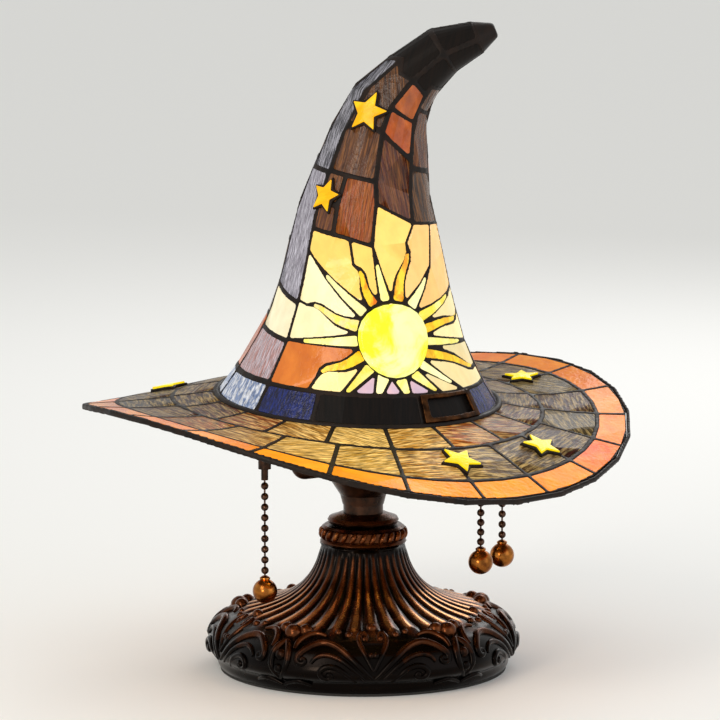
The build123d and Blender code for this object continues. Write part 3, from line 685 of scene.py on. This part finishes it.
        # The field round the sun turns from cream to gold and peach with height and side, in mm.
        if group.node == "sun_field_panes":
            if 196 < height < 218 and side < -18:
                return "cc7036"
            if height < 202 and side < 42:
                return "cdb4c6" if side > -2 else "f6e49c"
            if height > 252:
                return "fad274" if side < 20 else "fbcb84"
            return "faf1c0" if side < 25 else "fae8ac"
        if group.node == "crown_slate_panes" and not 205 < height < 325:
            return "d8a4a0" if height < 205 else "45434f"
        return group.colours[rank % len(group.colours)]

    def cut_panes(self, group: PaneGroup, seed: int) -> None:
        """Cut one node's panes from its sheets: colour and grain direction for each pane.

        Args:
            group: the node and its glass.
            seed: start of the random draws.
        """
        draw = random.Random(seed)
        brim = group.node.startswith("brim_")
        bm = merged_copy([group.node])
        self.swell(bm, 0.0, self.pane_tuck, brim)
        colour_layer = bm.verts.layers.float_color.new("pane_colour")
        sheet = bm.loops.layers.uv.new("sheet")
        bm.verts.index_update()
        for rank, corners in enumerate(islands(bm)):
            middle = middle_of(corners)
            colour = linear(self.pane_colour(group, middle, rank))
            gain = draw.uniform(0.86, 1.12)
            facing = self.outward(middle, brim)
            if brim:
                across = facing.cross(Vector((middle.x, middle.y, 0))).normalized()
            else:
                across = facing.cross(Vector((0, 0, 1))).normalized().cross(facing)
            turn = Matrix.Rotation(math.radians(draw.uniform(-group.swing, group.swing)), 3, facing)
            along = turn @ across
            beside = facing.cross(along)
            shift = draw.uniform(0, 400), draw.uniform(0, 400)
            for corner in corners:
                corner[colour_layer] = (*(c * gain for c in colour[:3]), 1.0)
                for loop in corner.link_loops:
                    loop[sheet].uv = (corner.co.dot(along) / MM + shift[0],
                                      corner.co.dot(beside) / MM + shift[1])
        piece = mesh_object(group.node + "_glass", bm, self.finishes[group.glass.name])
        stand(piece, self.body, [group.node])

    def swell(self, bm: bmesh.types.BMesh, proud: float, wide: float, brim: bool) -> None:
        """Move a skin's faces off the shade's middle surface, and its edges sideways.

        Args:
            bm: panes or solder lines.
            proud: move along the shade's outward direction, in mm.
            wide: move sideways, in mm.
            brim: whether they lie on the brim.
        """
        bm.normal_update()
        for corner, normal in [(v, v.normal.copy()) for v in bm.verts]:
            facing = self.outward(corner.co, brim)
            rise = normal.dot(facing)
            side = normal - facing * rise
            corner.co += facing * math.copysign(proud * MM, rise)
            if side.length > 0.05:
                corner.co += side.normalized() * wide * MM

    def bead_joint(self) -> None:
        """Run a bead of solder round the foot of the crown, where the brim meets it."""
        lean, way = math.radians(self.lean), math.radians(self.lean_towards)
        up = Vector((math.sin(lean) * math.sin(way), -math.sin(lean) * math.cos(way),
                     math.cos(lean)))
        centre = Vector(self.hat_middle) * MM
        right = Vector((0, -1, 0)).cross(up).normalized() * -1
        start = centre + (right * self.foot_joint_radius + up * self.foot_joint_rise) * MM
        bm = bmesh.new()
        turned = right.cross(up).to_track_quat("Z", "Y").to_matrix().to_4x4()
        ring = bmesh.ops.create_circle(bm, segments=12, radius=self.foot_joint_bead * MM,
                                       matrix=Matrix.Translation(start) @ turned)["verts"]
        edges = list(dict.fromkeys(edge for corner in ring for edge in corner.link_edges))
        bmesh.ops.spin(bm, geom=ring + edges, cent=centre, axis=up, dvec=(0, 0, 0),
                       angle=2 * math.pi, steps=120, use_merge=True, use_duplicate=False)
        stand(mesh_object("crown_foot_solder", closed(bm), self.finishes["solder"], 60),
              self.body)

    def lay_solder(self) -> None:
        """Run the solder lines: fused, rounded beads that stand a little proud of the glass."""
        for node, voxel in (("crown_came_front", self.front_voxel),
                            ("crown_came_back", self.came_voxel),
                            ("brim_came", self.brim_voxel)):
            line = merged_copy([node])
            self.swell(line, self.came_proud, 0.0, node == "brim_came")
            piece = mesh_object(node.replace("came", "solder"), remeshed(line, voxel, 2),
                                self.finishes["solder"], 60)
            stand(piece, self.body, [node])
        rim = remeshed(merged_copy(["brim_rim"]), self.brim_voxel, 3)
        piece = mesh_object("brim_rim_wire", rim, self.finishes["solder"], 60)
        stand(piece, self.body, ["brim_rim"])

    def dome_sun(self) -> None:
        """Slump the sun's disc into a dome."""
        bm = merged_copy(["sun_disc"])
        middle = middle_of(bm.verts)
        facing = self.outward(middle, False)
        for face in bm.faces:
            face.normal_update()
        outer = [face for face in bm.faces if face.normal.dot(facing) > 0.5]
        reach = max((v.co - middle).length for face in outer for v in face.verts)
        dissolved = bmesh.ops.dissolve_faces(bm, faces=outer, use_verts=False)["region"]
        fan = bmesh.ops.poke(bm, faces=dissolved)
        spokes = list(dict.fromkeys(e for f in fan["faces"] for e in f.edges))
        bmesh.ops.subdivide_edges(bm, edges=spokes, cuts=6, use_grid_fill=True)
        across = Vector((0, 0, 1)).cross(facing).normalized()
        for corner in bm.verts:
            offset = corner.co - middle
            flat = offset - facing * offset.dot(facing)
            # The back rises with the front, all but its rim, which stays under the solder.
            if offset.dot(facing) > -0.5 * MM or flat.length < reach * 0.9:
                lift = max(0.0, 1 - (flat.length / (reach * 1.01)) ** 2) ** 0.6
                corner.co += facing * lift * self.dome_height * MM
            corner.co += across * flat.dot(across) * self.sun_widening
        colour_layer = bm.verts.layers.float_color.new("pane_colour")
        sheet = bm.loops.layers.uv.new("sheet")
        rise = facing.cross(across)
        for corner in bm.verts:
            corner[colour_layer] = linear(self.sun_colour)
            for loop in corner.link_loops:
                loop[sheet].uv = corner.co.dot(across) / MM, corner.co.dot(rise) / MM
        piece = mesh_object("sun_dome", bm, self.finishes[SUN.name])
        stand(piece, self.body, ["sun_disc"])

    def plate_facing(self, corners: Sequence[bmesh.types.BMVert], brim: bool) -> Vector:
        """Outward direction of a flat plate, from its own outer faces.

        Args:
            corners: the plate's corners.
            brim: whether it lies on the brim.
        Returns:
            A unit vector.
        """
        middle = middle_of(corners)
        guess = self.outward(middle, brim)
        total = Vector()
        for face in dict.fromkeys(face for corner in corners for face in corner.link_faces):
            if face.normal.dot(guess) > 0.5:
                total += face.normal * face.calc_area()
        return total.normalized()

    def lay_stars(self, node: str, brim: bool) -> None:
        """Bevel the stars' glass and set each in a wider bed of solder.

        Args:
            node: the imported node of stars.
            brim: whether they lie on the brim.
        """
        glass = merged_copy([node])
        bed = merged_copy([node])
        glass.verts.index_update()
        bed.verts.index_update()
        colour_layer = glass.verts.layers.float_color.new("pane_colour")
        sheet = glass.loops.layers.uv.new("sheet")
        for corners in islands(bed):
            middle = middle_of(corners)
            facing = self.plate_facing(corners, brim)
            for corner in corners:
                offset = corner.co - middle
                high = offset.dot(facing)
                flat = offset - facing * high
                grown = flat + flat.normalized() * self.star_margin * MM
                corner.co = middle + grown + facing * (high - self.star_bed_drop * MM)
        for corners in islands(glass):
            sink = self.plate_facing(corners, brim) * self.star_sink * MM
            for corner in corners:
                corner.co -= sink
                corner[colour_layer] = linear(self.star_colours[brim])
                for loop in corner.link_loops:
                    loop[sheet].uv = corner.co.x / MM, (corner.co.z + corner.co.y) / MM
        piece = mesh_object(node + "_glass", glass, self.finishes[STAR.name])
        bevel = piece.modifiers.new("ground_edge", "BEVEL")
        bevel.width = self.star_edge * MM
        bevel.segments = 2
        bevel.angle_limit = math.radians(50)
        stand(piece, self.body, [node])
        bed = remeshed(bed, self.fine_voxel, 2)
        stand(mesh_object(node + "_solder", bed, self.finishes["solder"], 60), self.body)

    def fit_metal(self) -> None:
        """Round off the buckle and the tip, and draw the tip back over its seam."""
        buckle = remeshed(merged_copy(["band_buckle"]), self.fine_voxel, 2)
        stand(mesh_object("band_buckle_frame", buckle, self.finishes["buckle"], 60), self.body,
              ["band_buckle"])
        tip = merged_copy(["tip_cap"])
        middle = middle_of(tip.verts)
        bmesh.ops.scale(tip, vec=(self.tip_growth,) * 3, verts=tip.verts,
                        space=Matrix.Translation(-middle))
        bmesh.ops.translate(tip, verts=tip.verts, vec=Vector(self.tip_shift) * MM)
        tip = remeshed(tip, self.fine_voxel, 14)
        stand(mesh_object("crown_tip", tip, self.finishes["solder"], 60), self.body,
              ["tip_cap"])

    def make(self) -> None:
        """Build and dress the whole shade."""
        glasses = (CREAM, SUN, RAY, FLAME, BROWN, AMBER, SLATE, DARK, BLUE, NAVY, BORDER, GRAIN,
                   STAR)
        self.finishes = {glass.name: glass.build() for glass in glasses}
        # Solder under a black patina: dark brown-black, with a soft shine on the beads.
        self.finishes["solder"] = Stock("tin_solder_black_patina", "0e0906", "22150d", 0.1,
                                        (0.4, 0.6), 8.0, shine=0.2).build()
        # Brass under dark bronze patina, worn to copper here and there.
        self.finishes["buckle"] = Stock("brass_dark_bronze_patina", "24160d", "54341c",
                                        rough=(0.28, 0.45), patch=5.0).build()
        self.slots = {row["node"]: row["material_slot"] for row in frame["record"]["subparts"]}
        for seed, group in enumerate(self.groups()):
            self.cut_panes(group, seed)
        self.dome_sun()
        self.lay_solder()
        self.bead_joint()
        self.lay_stars("crown_stars", False)
        self.lay_stars("brim_stars", True)
        self.fit_metal()


# ---------------------------------------------------------------- base
@dataclass
class CastFoot:
    """The cast base: fluted bell, scrolled skirt, and the gadrooned collar above."""
    body: str = "root"
    skirt: tuple[Section, ...] = ((90, 1.5), (91.5, 4), (92.5, 8), (95.5, 10.5), (97.3, 13),
                                  (97.3, 17), (95.5, 22), (92.5, 27), (87, 31.5), (80, 35.5),
                                  (73, 38.5))
    bell: tuple[Section, ...] = ((73, 38.5), (61, 41.5), (51, 45.2), (43.5, 49.5), (38, 54),
                                 (33.5, 59.5), (30, 66), (27.6, 73), (26, 79))
    flutes: int = 38
    flute_depth: Section = (2.4, 0.9)
    flute_run: tuple[float, float, float, float] = (84.0, 46.0, 47.8, 78.0)
    repeats: int = 5
    first_v: float = 4.0
    facets: int = 456
    gadroons: int = 26
    lobe: float = 1.6
    rib: float = 1.45
    bosses: tuple[Spot, ...] = ((27.4, 22.6, 2.3), (16.6, 14.2, 2.2), (3.4, 33.6, 2.4),
                                (10.5, 35.4, 2.6), (15.5, 36.6, 2.2), (35.9, 24, 4.0),
                                (35.9, 16.5, 3.0), (1.0, 25.5, 2.4), (35.9, 35.0, 6.0),
                                (31.0, 36.5, 4.6), (0.2, 38.2, 3.6))

    def skirt_radius(self, height: float) -> float:
        """Radius of the plain outline at a height.

        Args:
            height: height in mm.
        Returns:
            The radius in mm.
        """
        profile = smooth_path(self.skirt, 6) + smooth_path(self.bell, 6)
        for (r0, z0), (r1, z1) in zip(profile, profile[1:]):
            if z0 <= height <= z1 and z1 > z0:
                return r0 + (r1 - r0) * (height - z0) / (z1 - z0)
        return profile[-1][0]

    def lobe_at(self, turn: float, height: float) -> float:
        """How far the skirt's lobes stand out.

        Args:
            turn: degrees round from the front.
            height: height in mm.
        Returns:
            The distance outside the plain skirt, in mm.
        """
        lobed = math.cos(math.radians(self.repeats * (turn - self.first_v - 36)))
        return self.lobe * lobed * max(0.0, min(1.0, (height - 4) / 12))

    def bell_shape(self, corner: bmesh.types.BMVert) -> float:
        """Press a corner of the blank into the flutes of the bell or the lobes of the skirt.

        Args:
            corner: a corner of the turned blank, which is moved.
        Returns:
            How light the finish is there, from 0 in a hollow to 1 on a ridge: how far it stands
            out, with a painted highlight on the ridges that is strongest towards the foot.
        """
        height = corner.co.z / MM
        radius = math.hypot(corner.co.x, corner.co.y) / MM
        inside = radius < self.bell[-1][0] - 3 or height < 34 and radius < self.skirt[0][0] - 3.5
        if inside:
            return 0.3
        turn = math.atan2(corner.co.x, -corner.co.y)
        foot_r, turn_r, turn_z, top_z = self.flute_run
        if radius > turn_r:
            rise = 0.3 * (foot_r - radius) / (foot_r - turn_r)
        else:
            rise = 0.3 + 0.7 * (height - turn_z) / (top_z - turn_z)
        if 0 < rise < 1:
            depth = self.flute_depth[0] + (self.flute_depth[1] - self.flute_depth[0]) * rise ** 0.5
            swell = min(1.0, rise * 9) * min(1.0, (1 - rise) * 9)
            wave = abs(math.sin(turn * self.flutes / 2 + 0.35 * math.sin(5 * turn)))
            ridge = wave ** 0.7
            move = (ridge - 0.75) * depth * swell
            # Painted highlight: the flutes are painted lighter towards the foot, and their ridges
            # brightest there, fading towards the top.
            shine = 0.3 + 0.8 * (1 - rise) ** 1.5
            relief_and_highlight = 0.14 + (0.2 * (1 - rise) + 0.9 * ridge ** 4 * shine) * swell
        else:
            move = self.lobe_at(math.degrees(turn), height)
            relief_and_highlight = 0.1
        upward = min(1.0, max(0.0, (radius - 36) / 24)) if 0 < rise < 1 else 0.0
        corner.co.z += move * upward * MM
        scale = 1 + move * (1 - upward) / radius
        corner.co.x *= scale
        corner.co.y *= scale
        return relief_and_highlight

    def on_skirt(self, turn: float, height: float, stand_out: float) -> Vector:
        """Point on the skirt.

        Args:
            turn: degrees round from the front.
            height: height in mm.
            stand_out: distance outside the plain skirt, in mm.
        Returns:
            The point, in metres.
        """
        radius = self.skirt_radius(height) + self.lobe_at(turn, height) + stand_out
        return Vector((radius * math.sin(math.radians(turn)),
                       -radius * math.cos(math.radians(turn)), height)) * MM

    def scroll_paths(self) -> list[list[Spot]]:
        """Half of one repeat of scrollwork.

        Returns:
            Runs of points, each as degrees from its middle, height in mm and thickness.
        """
        outer = [(0.4, 12, 0.7), (4, 17.5, 1.3), (9, 25, 1.7), (15, 31, 1.9), (21, 32.5, 1.8),
                 (26, 29.5, 1.7), (29.2, 24.5, 1.6), (28.4, 20.5, 1.4), (25.8, 20.6, 1.2),
                 (25.6, 23.4, 1.0), (27.2, 24, 0.8)]
        inner = [(3.4, 11.5, 0.5), (7, 17, 1.0), (12, 23.5, 1.3), (18, 26.6, 1.3),
                 (22.3, 24.6, 1.1), (23.4, 21, 0.8)]
        volute = [(6.6, 9.5, 0.5), (9.6, 14.5, 1.0), (13.4, 19, 1.3), (17.6, 19.8, 1.4),
                  (20.2, 16.5, 1.3), (19.4, 12.6, 1.2), (16.4, 11.6, 1.0), (15, 14, 0.9),
                  (16.6, 15.6, 0.8)]
        crest = [(0.2, 17, 0.8), (2.6, 24, 1.1), (4.8, 30, 1.3), (6.2, 34.4, 1.5),
                 (4.4, 37, 1.4), (2.2, 35.4, 1.1), (2.6, 32.6, 0.9)]
        shell = [(36, 10, 0.8), (33.6, 15, 1.3), (32.4, 21, 1.6), (33, 27, 1.8), (34.8, 31, 1.6),
                 (36, 32, 1.2)]
        leaf = [(20, 35.2, 0.7), (24, 36.6, 1.3), (28.4, 35.4, 1.6), (31.4, 31.6, 1.4),
                (31, 28.2, 0.9)]
        foot = [(24, 6.5, 0.8), (28, 9.6, 1.2), (32, 8.2, 1.2), (35.6, 5.5, 0.8)]
        return [outer, inner, volute, crest, shell, leaf, foot]

    def carve_scrolls(self, finish: bpy.types.Material) -> None:
        """Raise the scrollwork on the skirt as tapered ribs, with a bead in each volute.

        Args:
            finish: the casting's material.
        """
        curve = bpy.data.curves.new("scrollwork", "CURVE")
        curve.dimensions = "3D"
        curve.bevel_depth = self.rib * MM
        curve.bevel_resolution = 2
        curve.resolution_u = 5
        beads = bmesh.new()
        for k in range(self.repeats):
            for hand in (1, -1):
                middle = self.first_v + 360 * k / self.repeats
                for run in self.scroll_paths():
                    spline = curve.splines.new("NURBS")
                    spline.points.add(len(run) - 1)
                    for point, (turn, height, thick) in zip(spline.points, run):
                        spot = self.on_skirt(middle + hand * turn, height, 0.2)
                        point.co = (*spot, 1.0)
                        point.radius = thick
                    spline.order_u = 3
                    spline.use_endpoint_u = True
                for turn, height, size in self.bosses:
                    spot = self.on_skirt(middle + hand * turn, height, -0.35 * size)
                    bmesh.ops.create_uvsphere(beads, u_segments=12, v_segments=8,
                                              radius=size * MM, matrix=Matrix.Translation(spot))
        rope = bpy.data.objects.new("scrollwork", curve)
        bpy.context.scene.collection.objects.link(rope)
        depsgraph = bpy.context.evaluated_depsgraph_get()
        beads.from_mesh(bpy.data.meshes.new_from_object(rope.evaluated_get(depsgraph)))
        bpy.data.objects.remove(rope)
        bmesh.ops.holes_fill(beads, edges=[e for e in beads.edges if e.is_boundary], sides=0)
        # The scrollwork is painted lighter towards the top of the skirt.
        paint(beads, "relief_and_highlight", lambda corner: max(0.1, min(0.75, (corner.co.z / MM - 8) / 52)))
        stand(mesh_object("skirt_scrollwork", beads, finish, 60), self.body)

    def cast(self, finish: bpy.types.Material) -> None:
        """Turn the blank of the foot and press the flutes and lobes into it.

        Args:
            finish: the casting's material.
        """
        floor = [(86.0, self.skirt[0][1]), (86.0, 20.0), (60.0, 34.0), (30.0, 54.0), (21.0, 74.0),
                 (5.4, 74.0), (5.4, 79.0)]
        outline = (smooth_path(self.skirt, 4)[:-1] + smooth_path(self.bell, 6)
                   + floor[::-1] + [self.skirt[0]])
        bm = spun(outline, self.facets)
        bm.verts.index_update()
        relief_and_highlight = [self.bell_shape(corner) for corner in bm.verts]
        paint(bm, "relief_and_highlight", lambda corner: relief_and_highlight[corner.index])
        stand(mesh_object("cast_foot", bm, finish, 60), self.body, ["base_casting"])

    def ring_of_beads(self, radius: float, height: float, size: Spot,
                      tilt: float) -> bmesh.types.BMesh:
        """Ring of slanted oval beads, as gadroons are.

        Args:
            radius: ring radius in mm.
            height: ring height in mm.
            size: half lengths across, outwards and up, in mm.
            tilt: slant of each bead, in degrees.
        Returns:
            The beads as one bmesh.
        """
        bm = bmesh.new()
        for k in range(self.gadroons):
            place = (Matrix.Rotation(2 * math.pi * k / self.gadroons, 4, "Z")
                     @ Matrix.Translation((0, -radius * MM, height * MM))
                     @ Matrix.Rotation(math.radians(tilt), 4, "Y")
                     @ Matrix.Diagonal((*(s * MM for s in size), 1)))
            bmesh.ops.create_uvsphere(bm, u_segments=12, v_segments=8, radius=1, matrix=place)
        return bm

    def build_collar(self, finish: bpy.types.Material) -> None:
        """Turn the collar and the disc above it, and set the gadroons round the collar.

        Args:
            finish: the casting's material.
        """
        collar = spun([(5.3, 79.1), (25.5, 79.1), (27.2, 80.6), (26.6, 82.2), (25.4, 83.2),
                       (25.6, 85.5), (25.0, 88.4), (26.2, 89.6), (24.4, 90.9), (5.3, 91.0),
                       (5.3, 79.1)], 96)
        paint(collar, "relief_and_highlight", lambda corner: 0.5)
        stand(mesh_object("collar_ring", collar, finish), self.body, ["base_collar"])
        beads = self.ring_of_beads(25.6, 85.8, (1.9, 2.6, 3.9), 28)
        paint(beads, "relief_and_highlight", lambda corner: 0.72)
        stand(mesh_object("collar_gadroons", beads, finish, 80), self.body)
        disc = spun([(5.3, 91.1), (19.0, 91.1), (21.6, 92.2), (22.4, 94.2), (21.4, 95.9),
                     (17.0, 97.4), (14.4, 98.5), (5.3, 98.5), (5.3, 91.1)], 96)
        # The disc is painted lighter above its lowest rim.
        paint(disc, "relief_and_highlight", lambda corner: 0.55 if corner.co.z > 92.5 * MM else 0.3)
        stand(mesh_object("collar_top_disc", disc, finish), self.body, ["collar_disc"])

    def make(self) -> None:
        """Build and dress the base."""
        finish = CastBronze().build()
        self.cast(finish)
        self.carve_scrolls(finish)
        self.build_collar(finish)


# ---------------------------------------------------------------- pull chains
@dataclass
class PullChain:
    """One bead chain with its ball, hanging from a switch toggle."""
    name: str
    bead: float = 2.4
    pitch: float = 6.0
    link: float = 0.6
    ball: float = 7.7

    def make(self, chain_finish: bpy.types.Material, ball_finish: bpy.types.Material) -> None:
        """Build the beads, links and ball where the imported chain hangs.

        Args:
            chain_finish: material of the beads.
            ball_finish: material of the ball.
        """
        low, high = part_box(f"chain_{self.name}")
        middle = (low + high) / 2
        top, bottom = high.z / MM, low.z / MM
        count = int((top - bottom) / self.pitch)
        pitch = (top - bottom) / count
        bm = bmesh.new()
        for k in range(count):
            place = Matrix.Translation((middle.x, middle.y, (top - pitch * (k + 0.5)) * MM))
            bmesh.ops.create_uvsphere(bm, u_segments=20, v_segments=12, radius=self.bead * MM,
                                      matrix=place)
        place = Matrix.Translation((middle.x, middle.y, (top + bottom) / 2 * MM))
        bmesh.ops.create_cone(bm, cap_ends=True, segments=10, radius1=self.link * MM,
                              radius2=self.link * MM, depth=(top - bottom) * MM, matrix=place)
        body = f"chain_{self.name}"
        stand(mesh_object(f"bead_chain_{self.name}", bm, chain_finish, 50), body,
              [f"chain_{self.name}"])
        low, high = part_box(f"pull_ball_{self.name}")
        centre = Vector((middle.x, middle.y, low.z + self.ball * MM))
        half = self.ball
        profile = [(half * math.sin(math.radians(t)), -half * math.cos(math.radians(t)))
                   for t in range(0, 160, 8)]
        top_z = (high.z - centre.z) / MM
        # The turned neck above the ball, which closes on the chain's last link.
        profile += [(2.9, 7.3), (3.3, 7.9), (3.2, 8.6), (2.4, 9.1), (1.5, top_z), (0.0, top_z)]
        bm = spun(profile, 40)
        bmesh.ops.translate(bm, verts=bm.verts, vec=centre)
        stand(mesh_object(f"pull_ball_{self.name}_turned", bm, ball_finish, 40), body,
              [f"pull_ball_{self.name}"])


# ---------------------------------------------------------------- fittings kept as packed
@dataclass
class Fittings:
    """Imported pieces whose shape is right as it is: each gets its finish."""

    def dress(self, nodes: Iterable[str], material: bpy.types.Material) -> None:
        """Give nodes a material.

        Args:
            nodes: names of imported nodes.
            material: their finish.
        """
        for node in nodes:
            mesh = frame["nodes"][node].data
            mesh.materials.clear()
            mesh.materials.append(material)
            LOG.info("%s: %s", node, material.name)

    def make(self) -> None:
        """Dress every carried-over node."""
        sides = ("left", "right_front", "right_rear")
        # Spun steel, bronze lacquered: smooth dark brown with a broad soft gloss.
        lacquer = Stock("steel_bronze_lacquer_spun", "23170f", "43291a", 0.8).build()
        # Rolled steel, zinc plated: cool pale grey with a slightly blurred shine.
        zinc = Stock("steel_zinc_plated_rolled", "9a9d9f", "7f8284", 1.0, (0.28, 0.45)).build()
        # Drawn brass, satin finished: warm dull gold that darkens in patches.
        brass = Stock("brass_drawn_satin", "b3904c", "8f6f38", 1.0, (0.22, 0.38)).build()
        # Rolled thread, nickel plated: bright, slightly warm silver.
        nickel = Stock("nickel_plated_screw", "c2c0ba", "a39f97", 1.0, (0.15, 0.3)).build()
        # Grey iron, sand cast: charcoal, rough and without gloss.
        iron = Stock("iron_sand_cast", "3b3a38", "2a2826", 0.6, (0.55, 0.8), 9.0, 0.4).build()
        # Wool felt, pressed: flat black-grey with close mottling and no shine.
        felt = Stock("wool_felt_pressed", "1f1f1e", "2e2d2b", 0.0, (0.9, 1.0), 1.5, 0.5).build()
        # Nylon, moulded: even black with a faint satin shine.
        plastic = Stock("nylon_moulded_black", "151515", "1d1d1d", 0.0, (0.4, 0.55)).build()
        self.dress(("cluster_cup", "cluster_cover", "cluster_arms", "socket_caps",
                    "chain_outlets", "neck_sleeve"), lacquer)
        self.dress(("lamp_rod", "rod_nut", "rod_washer", "rod_seat", "base_plate"), zinc)
        self.dress(("finial_nut", "shade_spider", *(f"socket_shell_{s}" for s in sides)), brass)
        self.dress(tuple(f"toggle_{s}" for s in sides), lacquer)
        self.dress(("bulb_screws",), nickel)
        self.dress(("ballast_weight",), iron)
        self.dress(("felt_pad",), felt)
        self.dress(("cord_bushing",), plastic)
        self.dress(tuple(f"bulb_{s}" for s in sides), BulbGlass().build())


# ---------------------------------------------------------------- studio
@dataclass
class Studio:
    """Pale floor, soft lights and the camera."""
    aim: Spot = (-2.0, 0.0, 195.0)
    distance: float = 3000.0
    elevation: float = 8.6
    field: float = 450.0
    sensor: float = 36.0

    def light(self, name: str, place: Spot, size: float, power: float,
              colour: str) -> None:
        """Hang an area light that faces the lamp.

        Args:
            name: what the light is called.
            place: its position in metres.
            size: side of its square in metres.
            power: watts.
            colour: hex colour.
        """
        data = bpy.data.lights.new(name, "AREA")
        data.size = size
        data.energy = power
        data.color = linear(colour)[:3]
        lamp = bpy.data.objects.new(name, data)
        lamp.location = place
        aim = Vector((0, 0, 0.16)) - Vector(place)
        lamp.rotation_euler = aim.to_track_quat("-Z", "Y").to_euler()
        bpy.context.scene.collection.objects.link(lamp)

    def make(self) -> None:
        """Set up floor, lights, world and camera."""
        bm = bmesh.new()
        bmesh.ops.create_grid(bm, x_segments=1, y_segments=1, size=12.0)
        # Backdrop paper, calendered: an even, pale matt sheet.
        material, _, shader = new_material("studio_floor_paper")
        shader.inputs["Base Color"].default_value = linear("f6f6f4")
        shader.inputs["Roughness"].default_value = 0.9
        floor = mesh_object("studio_floor", bm, material)
        floor.location.z = -0.0002
        self.light("key_light", (-0.9, -1.3, 1.3), 0.8, 8, "fff6ea")
        self.light("fill_light", (1.4, -1.0, 0.7), 1.2, 4, "f2f5ff")
        self.light("rim_light", (0.5, 1.4, 1.1), 0.8, 6, "ffffff")
        self.light("base_glint", (-0.35, -0.8, 0.25), 0.18, 1.6, "fff0dc")
        world = bpy.data.worlds.new("studio")
        bpy.context.scene.world = world
        world.use_nodes = True
        back = world.node_tree.nodes["Background"]
        back.inputs[0].default_value = linear("f4f4f2")
        back.inputs[1].default_value = 0.8
        camera = bpy.data.cameras.new("camera")
        camera.sensor_width = self.sensor
        camera.lens = self.sensor * self.distance / self.field
        camera.clip_end = 20
        view = bpy.data.objects.new("camera", camera)
        tilt = math.radians(self.elevation)
        aim = Vector(self.aim) * MM
        view.location = aim + Vector((0, -math.cos(tilt), math.sin(tilt))) * self.distance * MM
        view.rotation_euler = (math.pi / 2 - tilt, 0, 0)
        bpy.context.scene.collection.objects.link(view)
        bpy.context.scene.camera = view
        # Lit glass is saturated, and the standard view keeps its colours as they are.
        bpy.context.scene.view_settings.view_transform = "Standard"


def main() -> None:
    """Build the lamp piece by piece."""
    logging.basicConfig(level=logging.INFO, format="%(name)s %(message)s")
    Studio().make()
    Fittings().make()
    CastFoot().make()
    # Steel beads under antique bronze plating, drawn and rolled.
    beads = Stock("steel_bead_chain_bronzed", "5c4538", "2a1c16", 1.0, (0.18, 0.32), 3.0).build()
    # Turned brass ball with an antique copper finish, darker where it isn't handled.
    balls = Stock("brass_ball_antique_copper", "c07a34", "6a3c1a", 1.0, (0.16, 0.3), 7.0).build()
    for name in ("left", "right_front", "right_rear"):
        PullChain(name).make(beads, balls)
    LeadedShade().make()


if __name__ == "__main__":
    main()
